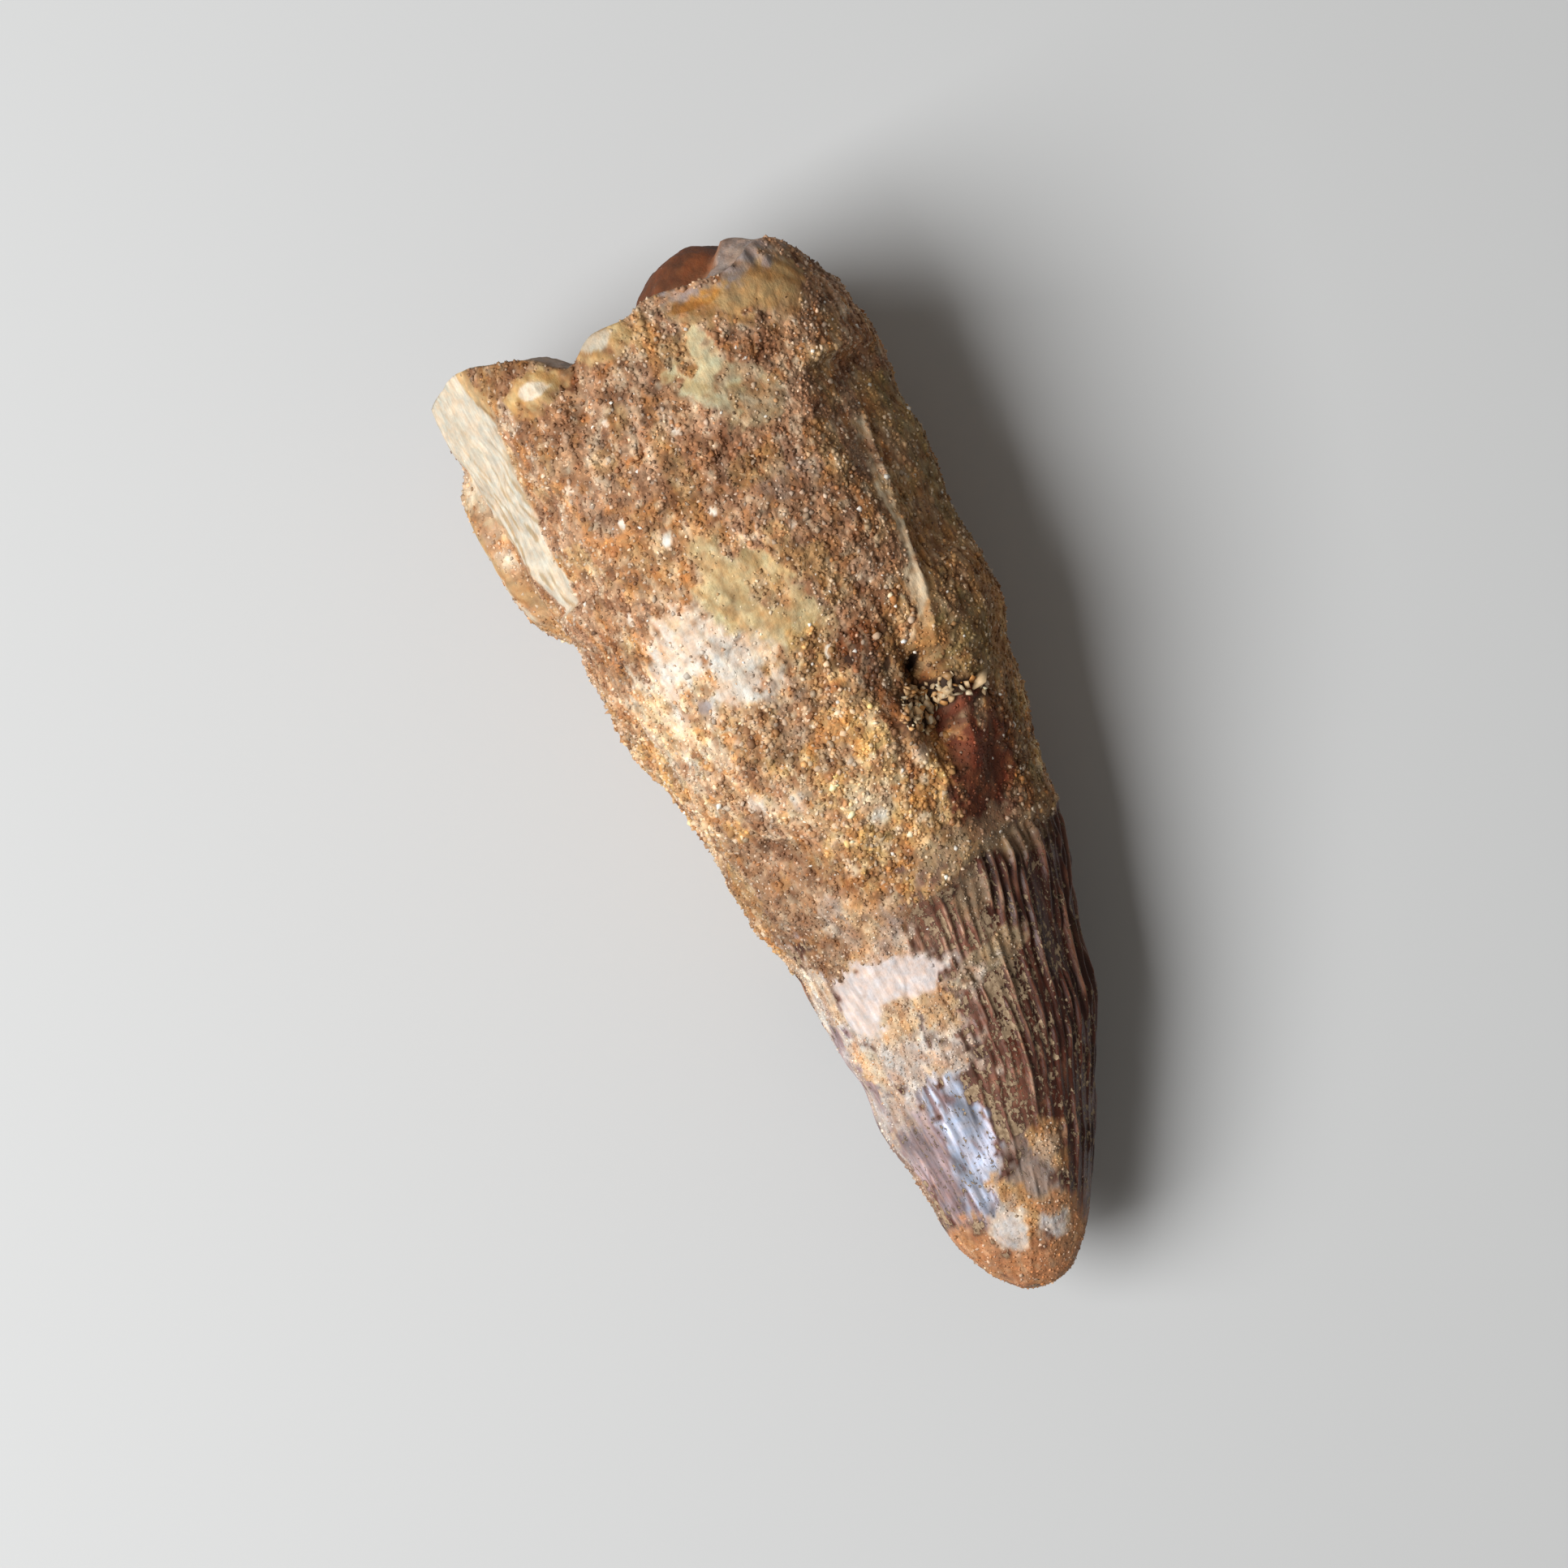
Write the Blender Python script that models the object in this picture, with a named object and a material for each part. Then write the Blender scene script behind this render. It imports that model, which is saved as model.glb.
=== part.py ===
# A fossil tooth lying on its side: a broken, sand-crusted root that tapers into a fluted enamel
# crown with a blunt tip. The root, the crown, the crust and the filling of the root are one solid.
# It is lofted from unlike sections, so its faces are laid out on a grid: along by round.
import bpy
import bmesh
import numpy as np

MM = 0.001

# Sizes in millimetres. X runs along the tooth to its tip, Y across it and Z up.
# Bearings run round the tooth in degrees: 0 faces +Y, 90 the top, 180 faces -Y, -90 the underside.
LENGTH = 76.0

# The blunt tip starts to close at TIP_START, and its squareness works as a section's does.
# Relief fades out over the last stretch, so that the tip comes together in one smooth point.
TIP_START = 66.0
TIP_SQUARENESS = 2.2
TIP_FADE = 1.5

# Flutes of the crown: how many, their height as a share of the local radius, and from x to x.
FLUTE_COUNT = 40
FLUTE_SHARE = 0.014
FLUTES = (46.0, 74.0)
FLUTE_FADE = 3.0

# Grid: two points round the tooth for every flute, one on its crest and one in its groove.
SIDES = 2 * FLUTE_COUNT
BODY_RINGS = 43
TIP_RINGS = 7
END_RINGS = 8

# Sections along the tooth: x, left edge, right edge, underside, top, squareness (2 is an ellipse).
SECTIONS = np.array([
    (0.0, -14.6, 12.2, 2.4, 22.4, 2.6),
    (4.0, -15.2, 13.5, 1.6, 23.8, 2.6),
    (10.0, -14.8, 14.4, 0.8, 25.0, 2.5),
    (17.0, -14.1, 14.3, 0.2, 25.3, 2.5),
    (23.0, -13.0, 14.5, -0.4, 24.6, 2.4),
    (30.0, -12.5, 14.3, -0.7, 23.2, 2.2),
    (36.0, -11.8, 13.1, -0.5, 21.9, 2.1),
    (42.0, -11.1, 12.3, -0.1, 20.6, 2.1),
    (48.0, -10.2, 11.5, 0.5, 19.2, 2.0),
    (54.0, -9.6, 9.8, 1.4, 17.9, 2.0),
    (60.0, -9.0, 8.3, 2.3, 16.6, 2.0),
    (66.0, -8.3, 5.4, 3.2, 15.3, 2.0),
    (71.0, -8.6, 3.4, 4.0, 14.3, 2.0),
    (76.0, -8.6, 2.4, 4.9, 13.6, 2.0),
])

# Where the broken rim stands, as its distance from x = 0: bearing, distance.
RIM = np.array([
    (0.0, 6.6),
    (22.0, 5.4),
    (34.0, 3.2),
    (50.0, 2.8),
    (62.0, 3.6),
    (80.0, 3.0),
    (98.0, 3.0),
    (110.0, 4.8),
    (117.0, 3.4),
    (135.0, 1.9),
    (160.0, 1.5),
    (185.0, 2.4),
    (230.0, 4.4),
    (300.0, 4.6),
    (335.0, 6.4),
    (360.0, 6.6),
])
# How far along the root the rim's outline is felt, and the size and height of its small jags,
# which are read round a circle of RIM_RADIUS.
RIM_REACH = 15.0
RIM_JAGS = (2.2, 0.35)
RIM_RADIUS = 13.0

# Flat worn faces of the root: bearing, distance from the axis, from x, to x. Past those ends a
# face moves out by FACET_CLEAR, over FACET_FADE, so that it no longer cuts the section.
FACETS = (
    (152.0, 13.4, -6.0, 19.0),
    (36.0, 13.15, 12.0, 33.0),
    (-42.0, 14.3, 4.0, 30.0),
    (-140.0, 14.1, 0.0, 26.0),
)
FACET_SOFTNESS = 0.35
FACET_FADE = 5.0
FACET_CLEAR = 40.0

# Lumps (height above 0) and pits (below 0): x, bearing, half length, half width, height, crispness.
# Crispness 1 is a soft swelling, and 3 is a ledge with a steep edge.
FORMS = (
    (5.2, 121.0, 1.5, 1.5, 0.55, 2),
    (4.4, 97.0, 1.9, 2.4, 0.6, 1),
    (8.0, 112.0, 4.5, 0.9, -0.7, 1),
    (5.0, 44.0, 2.2, 3.2, 0.5, 2),
    (13.9, 190.0, 6.6, 3.4, 1.8, 4),
    (27.5, 176.0, 4.2, 4.5, 0.45, 1),
    (14.0, 66.0, 6.0, 4.0, -0.25, 1),
    (28.0, 116.0, 6.0, 5.0, 0.35, 1),
    (31.5, 73.0, 3.6, 4.4, -0.65, 1),
    (35.6, 81.0, 2.5, 2.3, 0.8, 1),
    (36.8, 62.0, 3.9, 1.5, -1.9, 2),
    (32.8, 60.0, 0.9, 0.9, -0.8, 1),
    (33.5, 46.0, 3.2, 2.4, 0.5, 1),
    (40.4, 134.0, 2.4, 2.6, -0.9, 1),
    (38.5, 104.0, 4.5, 4.5, 0.35, 1),
    (47.0, 72.0, 2.0, 4.0, 0.35, 2),
    (42.5, 49.0, 4.2, 2.2, -0.55, 2),
    (48.5, 176.0, 2.0, 3.0, -0.4, 1),
    (57.3, 178.0, 1.8, 3.0, -0.45, 1),
    (61.5, 176.0, 2.2, 3.0, 0.3, 1),
    (58.5, 2.0, 1.6, 2.6, 0.3, 1),
    (70.0, 72.0, 2.0, 2.2, 0.25, 2),
    (73.5, -30.0, 1.8, 2.2, -0.4, 1),
    (24.0, -62.0, 3.4, 3.0, 0.7, 1),
    (12.0, -118.0, 4.0, 3.0, -0.8, 1),
    (36.0, -150.0, 3.6, 3.2, 0.6, 1),
    (43.0, -48.0, 3.2, 3.4, 0.5, 2),
    (50.0, -120.0, 2.6, 2.8, -0.5, 1),
    (19.0, 8.0, 4.0, 3.0, 0.4, 1),
)

# The crust of sand round the middle: full from x to x, rising before and ending steeply after,
# with its thickness and the size and reach of the waves in its edge.
CRUST = (30.0, 46.5)
CRUST_RISE = 8.0
CRUST_EDGE = 1.5
CRUST_THICKNESS = 0.45
CRUST_WAVES = (8.0, 3.0)

# Unevenness: size of the swellings, height on the root and height on the crown, and the stretch
# of x over which the root's goes over into the crown's.
LUMPS = (6.0, 0.42, 0.10)
GRIT = (2.6, 0.26, 0.05)
ROOT_TO_CROWN = (42.0, 50.0)

# The broken end: a wall of bone round a hollow, with the root's filling standing out of it.
# The filling is y, z, half width, half height and how far it stands out of the hollow.
WALL_THICKNESS = 3.6
END_LEVEL = 3.8
END_HOLLOW = 2.2
FILLING = (5.2, 12.6, 5.6, 7.0, 6.0)
END_JAGS = (2.8, 0.3)

# Edges that turn by more than this, in degrees, are shaded sharp.
SHARP_ANGLE = 30.0


# Reads a curve through known points with cubic pieces whose slopes come from the neighbours.
def through(known_x, known_y, x):
    slope = np.gradient(known_y, known_x)
    i = np.clip(np.searchsorted(known_x, x) - 1, 0, len(known_x) - 2)
    gap = known_x[i + 1] - known_x[i]
    t = np.clip((x - known_x[i]) / gap, 0.0, 1.0)
    rise = known_y[i] * (1 + 2 * t) * (1 - t) ** 2 + known_y[i + 1] * t * t * (3 - 2 * t)
    lean = slope[i] * t * (1 - t) ** 2 - slope[i + 1] * t * t * (1 - t)
    return rise + gap * lean


# Rises smoothly from 0 at low to 1 at high.
def ease(low, high, x):
    t = np.clip((x - low) / (high - low), 0.0, 1.0)
    return t * t * (3 - 2 * t)


# A number from -1 to 1 for every whole-numbered point of a lattice, always the same one.
def lattice_value(i, j, k, seed):
    mixed = i * 374761393 + j * 668265263 + k * 1442695041 + seed * 974634777
    mixed = (mixed ^ (mixed >> 13)) & 0x7FFFFFFF
    mixed = (mixed * 1274126177) & 0x7FFFFFFF
    mixed = mixed ^ (mixed >> 15)
    return mixed / 0x3FFFFFFF - 1.0


# Smooth swellings of about the given size: lattice numbers blended between the eight corners.
def swell(x, y, z, size, seed):
    p = np.stack([x, y, z]) / size
    corner = np.floor(p).astype(np.int64)
    t = p - corner
    t = t * t * t * (t * (t * 6 - 15) + 10)
    total = np.zeros_like(x)
    for di in (0, 1):
        for dj in (0, 1):
            for dk in (0, 1):
                share = (t[0] if di else 1 - t[0]) * (t[1] if dj else 1 - t[1])
                share = share * (t[2] if dk else 1 - t[2])
                value = lattice_value(corner[0] + di, corner[1] + dj, corner[2] + dk, seed)
                total += share * value
    return total


# The loft's plain section at x: centre, half width, half height and squareness.
def section(x):
    known = SECTIONS[:, 0]
    left, right, under, top, square = (through(known, SECTIONS[:, c], x) for c in range(1, 6))
    reach = np.clip((x - TIP_START) / (LENGTH - TIP_START), 0.0, 1.0)
    close = (1.0 - reach ** TIP_SQUARENESS) ** (1 / TIP_SQUARENESS)
    centre_y = (left + right) / 2
    centre_z = (under + top) / 2
    return centre_y, centre_z, close * (right - left) / 2, close * (top - under) / 2, square


# How far apart two bearings are along the surface, in millimetres.
def arc_between(bearing, other, radius):
    turn = (bearing - other + 180.0) % 360.0 - 180.0
    return np.radians(turn) * radius


# Smaller of two lengths, with the corner between them rounded by softness.
def soft_least(a, b, softness):
    mix = np.clip(0.5 + 0.5 * (b - a) / softness, 0.0, 1.0)
    return b + (a - b) * mix - softness * mix * (1 - mix)


# The side of the tooth: for every x and bearing, a point of the section plus its relief.
def side_point(x, bearing):
    centre_y, centre_z, half_width, half_height, square = section(x)
    turn = np.radians(bearing)
    across = np.cos(turn)
    up = np.sin(turn)
    size = (np.abs(across) ** square + np.abs(up) ** square) ** (-1 / square)
    y = half_width * size * across
    z = half_height * size * up
    radius = np.hypot(y, z)
    for face_bearing, distance, start, end in FACETS:
        facing = np.cos(np.arctan2(z, y) - np.radians(face_bearing))
        away = FACET_CLEAR * (1 - ease(start - FACET_FADE, start, x) * ease(end + FACET_FADE, end, x))
        plane = distance / np.maximum(facing, 0.05) + away
        radius = soft_least(radius, plane, FACET_SOFTNESS)
    shrink = radius / np.maximum(np.hypot(y, z), 1e-9)
    y = y * shrink
    z = z * shrink
    relief = side_relief(x, bearing, centre_y + y, centre_z + z, radius)
    relief = relief * ease(LENGTH, LENGTH - TIP_FADE, x)
    out = np.stack([across / np.maximum(half_width, 0.1), up / np.maximum(half_height, 0.1)])
    out = out / np.hypot(out[0], out[1])
    return centre_y + y + relief * out[0], centre_z + z + relief * out[1]


# Relief of the side: swellings, grit, the crust, the lumps and pits, and the crown's flutes.
def side_relief(x, bearing, y, z, radius):
    crown = ease(ROOT_TO_CROWN[0], ROOT_TO_CROWN[1], x)
    relief = np.zeros_like(x)
    for seed, (size, on_root, on_crown) in ((3, LUMPS), (11, GRIT)):
        relief += (on_root + (on_crown - on_root) * crown) * swell(x, y, z, size, seed)
    along = x + CRUST_WAVES[1] * swell(x, y, z, CRUST_WAVES[0], 21)
    crust = ease(CRUST[0] - CRUST_RISE, CRUST[0], along)
    crust = crust * ease(CRUST[1] + CRUST_EDGE, CRUST[1], along)
    relief += CRUST_THICKNESS * (crust - 0.5 * ease(CRUST[0] - CRUST_RISE, CRUST[0], x))
    for at, face, half_length, half_width, height, crispness in FORMS:
        d = ((x - at) / half_length) ** 2 + (arc_between(bearing, face, radius) / half_width) ** 2
        relief += height * np.exp(-(d ** crispness))
    flutes = np.cos(np.radians(bearing) * FLUTE_COUNT) * FLUTE_SHARE * radius
    bare = ease(FLUTES[0], FLUTES[0] + FLUTE_FADE, along)
    bare = bare * ease(FLUTES[1], FLUTES[1] - 2 * FLUTE_FADE, x)
    return relief + flutes * bare


# The rings of the side, from the rim to just short of the tip, each a row of points.
def side_rings():
    body = np.linspace(0.0, TIP_START, BODY_RINGS, endpoint=False)
    rounding = np.radians(np.linspace(0.0, 90.0, TIP_RINGS, endpoint=False))
    tip = TIP_START + (LENGTH - TIP_START) * np.sin(rounding)
    bearing = np.arange(SIDES) * 360.0 / SIDES
    x, bearing = np.meshgrid(np.concatenate([body, tip]), bearing, indexing="ij")
    x = x + rim_at(bearing) * ease(RIM_REACH, 0.0, x)
    y, z = side_point(x, bearing)
    return np.stack([x, y, z], axis=-1)


# The distance of the broken rim from x = 0 at a bearing, with its small jags.
def rim_at(bearing):
    size, height = RIM_JAGS
    turn = np.radians(bearing)
    circle = RIM_RADIUS * np.cos(turn), RIM_RADIUS * np.sin(turn)
    jags = swell(np.zeros_like(turn), *circle, size, 5)
    return through(RIM[:, 0], RIM[:, 1], bearing % 360.0) + height * jags


# The rings of the broken end, from just inside the rim towards its middle.
def end_rings(rim):
    middle = rim.mean(axis=0)
    shares = np.linspace(1.0, 0.0, END_RINGS + 1, endpoint=False)[1:, None, None]
    rings = middle + (rim - middle) * shares
    depth = np.hypot(*(rim - middle)[:, 1:].T) * (1.0 - shares[..., 0])
    rings[..., 0] = end_level(rings, rim[:, 0], depth)
    return rings


# X of the broken end, with the depth of each point inside the rim: the wall stands level with
# the rim, the hollow goes in behind it, and the filling stands out of the hollow.
def end_level(points, rim_x, depth):
    x, y, z = np.moveaxis(points, -1, 0)
    inside = ease(0.6 * WALL_THICKNESS, 1.3 * WALL_THICKNESS, depth)
    level = rim_x + (END_LEVEL - rim_x) * ease(0.0, 2.5 * WALL_THICKNESS, depth) + END_HOLLOW * inside
    at_y, at_z, half_width, half_height, proud = FILLING
    d = ((y - at_y) / half_width) ** 2 + ((z - at_z) / half_height) ** 2
    size, height = END_JAGS
    return level - proud * np.exp(-(d ** 2)) + height * swell(x, y, z, size, 7)


# Joins the rings into one closed skin: quads between rings and a fan at each end.
def build_mesh():
    side = side_rings()
    end = end_rings(side[0])
    middle = end[-1].mean(axis=0)
    tip_y, tip_z = section(np.array([LENGTH]))[:2]
    tip = np.array([LENGTH, tip_y[0], tip_z[0]])
    rings = np.concatenate([end[::-1], side])
    points = np.concatenate([middle[None], rings.reshape(-1, 3), tip[None]])
    points[:, 2] = np.maximum(points[:, 2], 0.0)
    low = points.min(axis=0)
    high = points.max(axis=0)
    points[:, :2] -= (low + high)[:2] / 2

    bm = bmesh.new()
    verts = [bm.verts.new(point) for point in points * MM]
    grid = np.arange(len(rings) * SIDES).reshape(len(rings), SIDES) + 1
    last = len(verts) - 1
    for j in range(SIDES):
        k = (j + 1) % SIDES
        bm.faces.new((verts[0], verts[grid[0, k]], verts[grid[0, j]]))
        bm.faces.new((verts[last], verts[grid[-1, j]], verts[grid[-1, k]]))
        for low_ring, high_ring in zip(grid[:-1], grid[1:]):
            corners = (low_ring[j], low_ring[k], high_ring[k], high_ring[j])
            bm.faces.new([verts[corner] for corner in corners])
    bm.normal_update()
    mesh = bpy.data.meshes.new("tooth")
    bm.to_mesh(mesh)
    bm.free()
    return mesh


# Fossil bone and enamel as one plain colour.
def tooth_material():
    material = bpy.data.materials.new("fossil")
    material.use_nodes = True
    shader = material.node_tree.nodes["Principled BSDF"]
    shader.inputs["Base Color"].default_value = (0.36, 0.19, 0.10, 1.0)
    shader.inputs["Roughness"].default_value = 0.75
    shader.inputs["Metallic"].default_value = 0.0
    return material


def main():
    for old in list(bpy.data.objects):
        bpy.data.objects.remove(old, do_unlink=True)
    collection = bpy.data.collections.new("spinosaurus_tooth")
    bpy.context.scene.collection.children.link(collection)
    mesh = build_mesh()
    mesh.materials.append(tooth_material())
    mesh.shade_smooth()
    mesh.set_sharp_from_angle(angle=np.radians(SHARP_ANGLE))
    collection.objects.link(bpy.data.objects.new("tooth", mesh))


main()
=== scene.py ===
from math import radians

import bpy
import numpy as np
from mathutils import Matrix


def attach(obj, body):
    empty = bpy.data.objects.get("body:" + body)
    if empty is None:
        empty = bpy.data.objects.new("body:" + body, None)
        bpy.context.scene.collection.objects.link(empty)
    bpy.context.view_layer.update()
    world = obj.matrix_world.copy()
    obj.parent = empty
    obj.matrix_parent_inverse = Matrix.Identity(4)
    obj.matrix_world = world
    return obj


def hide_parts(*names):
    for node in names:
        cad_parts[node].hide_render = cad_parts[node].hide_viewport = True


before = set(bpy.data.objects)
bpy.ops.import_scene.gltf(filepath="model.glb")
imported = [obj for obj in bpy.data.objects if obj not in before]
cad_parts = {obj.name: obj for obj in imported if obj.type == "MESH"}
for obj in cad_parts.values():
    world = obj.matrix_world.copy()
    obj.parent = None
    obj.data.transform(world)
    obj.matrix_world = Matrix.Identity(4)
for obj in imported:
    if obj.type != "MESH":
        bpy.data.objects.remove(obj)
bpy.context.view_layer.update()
mm = 0.001
print("frame loaded:", ", ".join(sorted(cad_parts)))

# A fossil tooth lying on its side. All lengths below are in millimetres: x runs from the broken
# root to the tip, bearings run round the tooth in degrees (0 is +Y, 90 the top, 180 is -Y).

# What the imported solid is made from. The skin below repeats it, so that it lies where the solid
# does.
toothForm = {
    "length": 76.0,
    "tipStart": 66.0,  # the blunt tip closes from here on
    "tipSquareness": 2.2,
    "tipFade": 1.5,
    "sections": (  # x, left edge, right edge, underside, top, squareness
        (0.0, -14.6, 12.2, 2.4, 22.4, 2.6),
        (4.0, -15.2, 13.5, 1.6, 23.8, 2.6),
        (10.0, -14.8, 14.4, 0.8, 25.0, 2.5),
        (17.0, -14.1, 14.3, 0.2, 25.3, 2.5),
        (23.0, -13.0, 14.5, -0.4, 24.6, 2.4),
        (30.0, -12.5, 14.3, -0.7, 23.2, 2.2),
        (36.0, -11.8, 13.1, -0.5, 21.9, 2.1),
        (42.0, -11.1, 12.3, -0.1, 20.6, 2.1),
        (48.0, -10.2, 11.5, 0.5, 19.2, 2.0),
        (54.0, -9.6, 9.8, 1.4, 17.9, 2.0),
        (60.0, -9.0, 8.3, 2.3, 16.6, 2.0),
        (66.0, -8.3, 5.4, 3.2, 15.3, 2.0),
        (71.0, -8.6, 3.4, 4.0, 14.3, 2.0),
        (76.0, -8.6, 2.4, 4.9, 13.6, 2.0),
    ),
    "rim": (  # bearing, distance of the broken rim from x = 0
        (0.0, 6.6), (22.0, 5.4), (34.0, 3.2), (50.0, 2.8), (62.0, 3.6), (80.0, 3.0), (98.0, 3.0),
        (110.0, 4.8), (117.0, 3.4), (135.0, 1.9), (160.0, 1.5), (185.0, 2.4), (230.0, 4.4),
        (300.0, 4.6), (335.0, 6.4), (360.0, 6.6),
    ),
    "rimReach": 15.0,
    "rimJags": (2.2, 0.35),  # size and height
    "rimRadius": 13.0,
    "facets": (  # bearing, distance from the axis, from x, to x
        (152.0, 13.4, -6.0, 19.0),
        (36.0, 13.15, 12.0, 33.0),
        (-42.0, 14.3, 4.0, 30.0),
        (-140.0, 14.1, 0.0, 26.0),
    ),
    "facetSoftness": 0.35,
    "facetFade": 5.0,
    "facetClear": 40.0,
    "forms": (  # lumps and pits: x, bearing, half length, half width, height, crispness
        (5.2, 121.0, 1.5, 1.5, 0.55, 2),
        (4.4, 97.0, 1.9, 2.4, 0.6, 1),
        (8.0, 112.0, 4.5, 0.9, -0.7, 1),
        (5.0, 44.0, 2.2, 3.2, 0.5, 2),
        (13.9, 190.0, 6.6, 3.4, 1.8, 4),
        (27.5, 176.0, 4.2, 4.5, 0.45, 1),
        (14.0, 66.0, 6.0, 4.0, -0.25, 1),
        (28.0, 116.0, 6.0, 5.0, 0.35, 1),
        (31.5, 73.0, 3.6, 4.4, -0.65, 1),
        (35.6, 81.0, 2.5, 2.3, 0.8, 1),
        (36.8, 62.0, 3.9, 1.5, -1.9, 2),
        (32.8, 60.0, 0.9, 0.9, -0.8, 1),
        (33.5, 46.0, 3.2, 2.4, 0.5, 1),
        (40.4, 134.0, 2.4, 2.6, -0.9, 1),
        (38.5, 104.0, 4.5, 4.5, 0.35, 1),
        (47.0, 72.0, 2.0, 4.0, 0.35, 2),
        (42.5, 49.0, 4.2, 2.2, -0.55, 2),
        (48.5, 176.0, 2.0, 3.0, -0.4, 1),
        (57.3, 178.0, 1.8, 3.0, -0.45, 1),
        (61.5, 176.0, 2.2, 3.0, 0.3, 1),
        (58.5, 2.0, 1.6, 2.6, 0.3, 1),
        (70.0, 72.0, 2.0, 2.2, 0.25, 2),
        (73.5, -30.0, 1.8, 2.2, -0.4, 1),
        (24.0, -62.0, 3.4, 3.0, 0.7, 1),
        (12.0, -118.0, 4.0, 3.0, -0.8, 1),
        (36.0, -150.0, 3.6, 3.2, 0.6, 1),
        (43.0, -48.0, 3.2, 3.4, 0.5, 2),
        (50.0, -120.0, 2.6, 2.8, -0.5, 1),
        (19.0, 8.0, 4.0, 3.0, 0.4, 1),
    ),
    "crust": (30.0, 46.5),  # the crust of sand is full from x to x
    "crustRise": 8.0,
    "crustEdge": 1.5,
    "crustThickness": 0.45,
    "crustWaves": (8.0, 3.0),  # size and reach
    "lumps": (6.0, 0.42, 0.10),  # size, height on the root, height on the crown
    "grit": (2.6, 0.26, 0.05),
    "rootToCrown": (42.0, 50.0),
    "fluteCount": 40,
    "fluteShare": 0.014,
    "flutes": (46.0, 74.0),
    "fluteFade": 3.0,
    "wallThickness": 3.6,
    "endLevel": 3.8,
    "endHollow": 2.2,
    "filling": (5.2, 12.6, 5.6, 7.0, 6.0),  # y, z, half width, half height, how far it stands out
    "endJags": (2.8, 0.3),
    "solidGrid": (80, 43, 7, 8),  # sides, body rings, tip rings, end rings
}


# Reads a curve through known points: a cubic piece between each two of them, with slopes taken
# from the points on both sides.
def through(knownX, knownY, x):
    slope = np.gradient(knownY, knownX)
    i = np.clip(np.searchsorted(knownX, x) - 1, 0, len(knownX) - 2)
    gap = knownX[i + 1] - knownX[i]
    t = np.clip((x - knownX[i]) / gap, 0.0, 1.0)
    rise = knownY[i] * (1 + 2 * t) * (1 - t) ** 2 + knownY[i + 1] * t * t * (3 - 2 * t)
    lean = slope[i] * t * (1 - t) ** 2 - slope[i + 1] * t * t * (1 - t)
    return rise + gap * lean


# 3t^2 - 2t^3, with t running from 0 at low to 1 at high.
def ease(low, high, x):
    t = np.clip((x - low) / (high - low), 0.0, 1.0)
    return t * t * (3 - 2 * t)


# Stirs three whole numbers and a seed into one number from -1 to 1, always the same one.
def latticeValue(i, j, k, seed):
    mixed = i * 374761393 + j * 668265263 + k * 1442695041 + seed * 974634777
    mixed = (mixed ^ (mixed >> 13)) & 0x7FFFFFFF
    mixed = (mixed * 1274126177) & 0x7FFFFFFF
    mixed = mixed ^ (mixed >> 15)
    return mixed / 0x3FFFFFFF - 1.0


# Smooth swellings of about the given size: the lattice numbers at the eight corners round a
# point, weighed by how near each corner is.
def swell(x, y, z, size, seed):
    p = np.stack([x, y, z]) / size
    corner = np.floor(p).astype(np.int64)
    t = p - corner
    t = t * t * t * (t * (t * 6 - 15) + 10)
    total = np.zeros_like(x)
    for di in (0, 1):
        for dj in (0, 1):
            for dk in (0, 1):
                share = (t[0] if di else 1 - t[0]) * (t[1] if dj else 1 - t[1])
                share = share * (t[2] if dk else 1 - t[2])
                total += share * latticeValue(corner[0] + di, corner[1] + dj, corner[2] + dk, seed)
    return total


# Several swellings laid over each other, a row for each: share, how x is squeezed, size, seed. Where
# they are creased, each is taken without its sign, so that rounded tops have creases between them.
def swells(x, y, z, rows, creased=False):
    total = np.zeros_like(x)
    for share, squeeze, size, seed in rows:
        one = swell(x * squeeze, y, z, size, seed)
        total += share * (np.abs(one) if creased else one)
    return total


# 1 inside a stretch of x and 0 outside it, with an ease at both ends.
def within(start, full, lasting, end, x):
    return ease(start, full, x) * ease(end, lasting, x)


# Goes from the least to 1 as a share goes from 0 to 1.
def atLeast(least, share):
    return least + (1 - least) * share


# The plain section at x. Over the tip its half sizes shrink by (1 - t^n)^(1/n).
def sectionAt(x):
    known = np.array(toothForm["sections"])
    left, right, under, top, square = (through(known[:, 0], known[:, c], x) for c in range(1, 6))
    start = toothForm["tipStart"]
    n = toothForm["tipSquareness"]
    reach = np.clip((x - start) / (toothForm["length"] - start), 0.0, 1.0)
    close = (1.0 - reach ** n) ** (1 / n)
    halfWidth = close * (right - left) / 2
    halfHeight = close * (top - under) / 2
    return (left + right) / 2, (under + top) / 2, halfWidth, halfHeight, square


# How far apart two bearings are along the surface.
def arcBetween(bearing, other, radius):
    turn = (bearing - other + 180.0) % 360.0 - 180.0
    return np.radians(turn) * radius


# Smaller of two lengths, with the corner between them rounded.
def softLeast(a, b, softness):
    mix = np.clip(0.5 + 0.5 * (b - a) / softness, 0.0, 1.0)
    return b + (a - b) * mix - softness * mix * (1 - mix)


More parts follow.
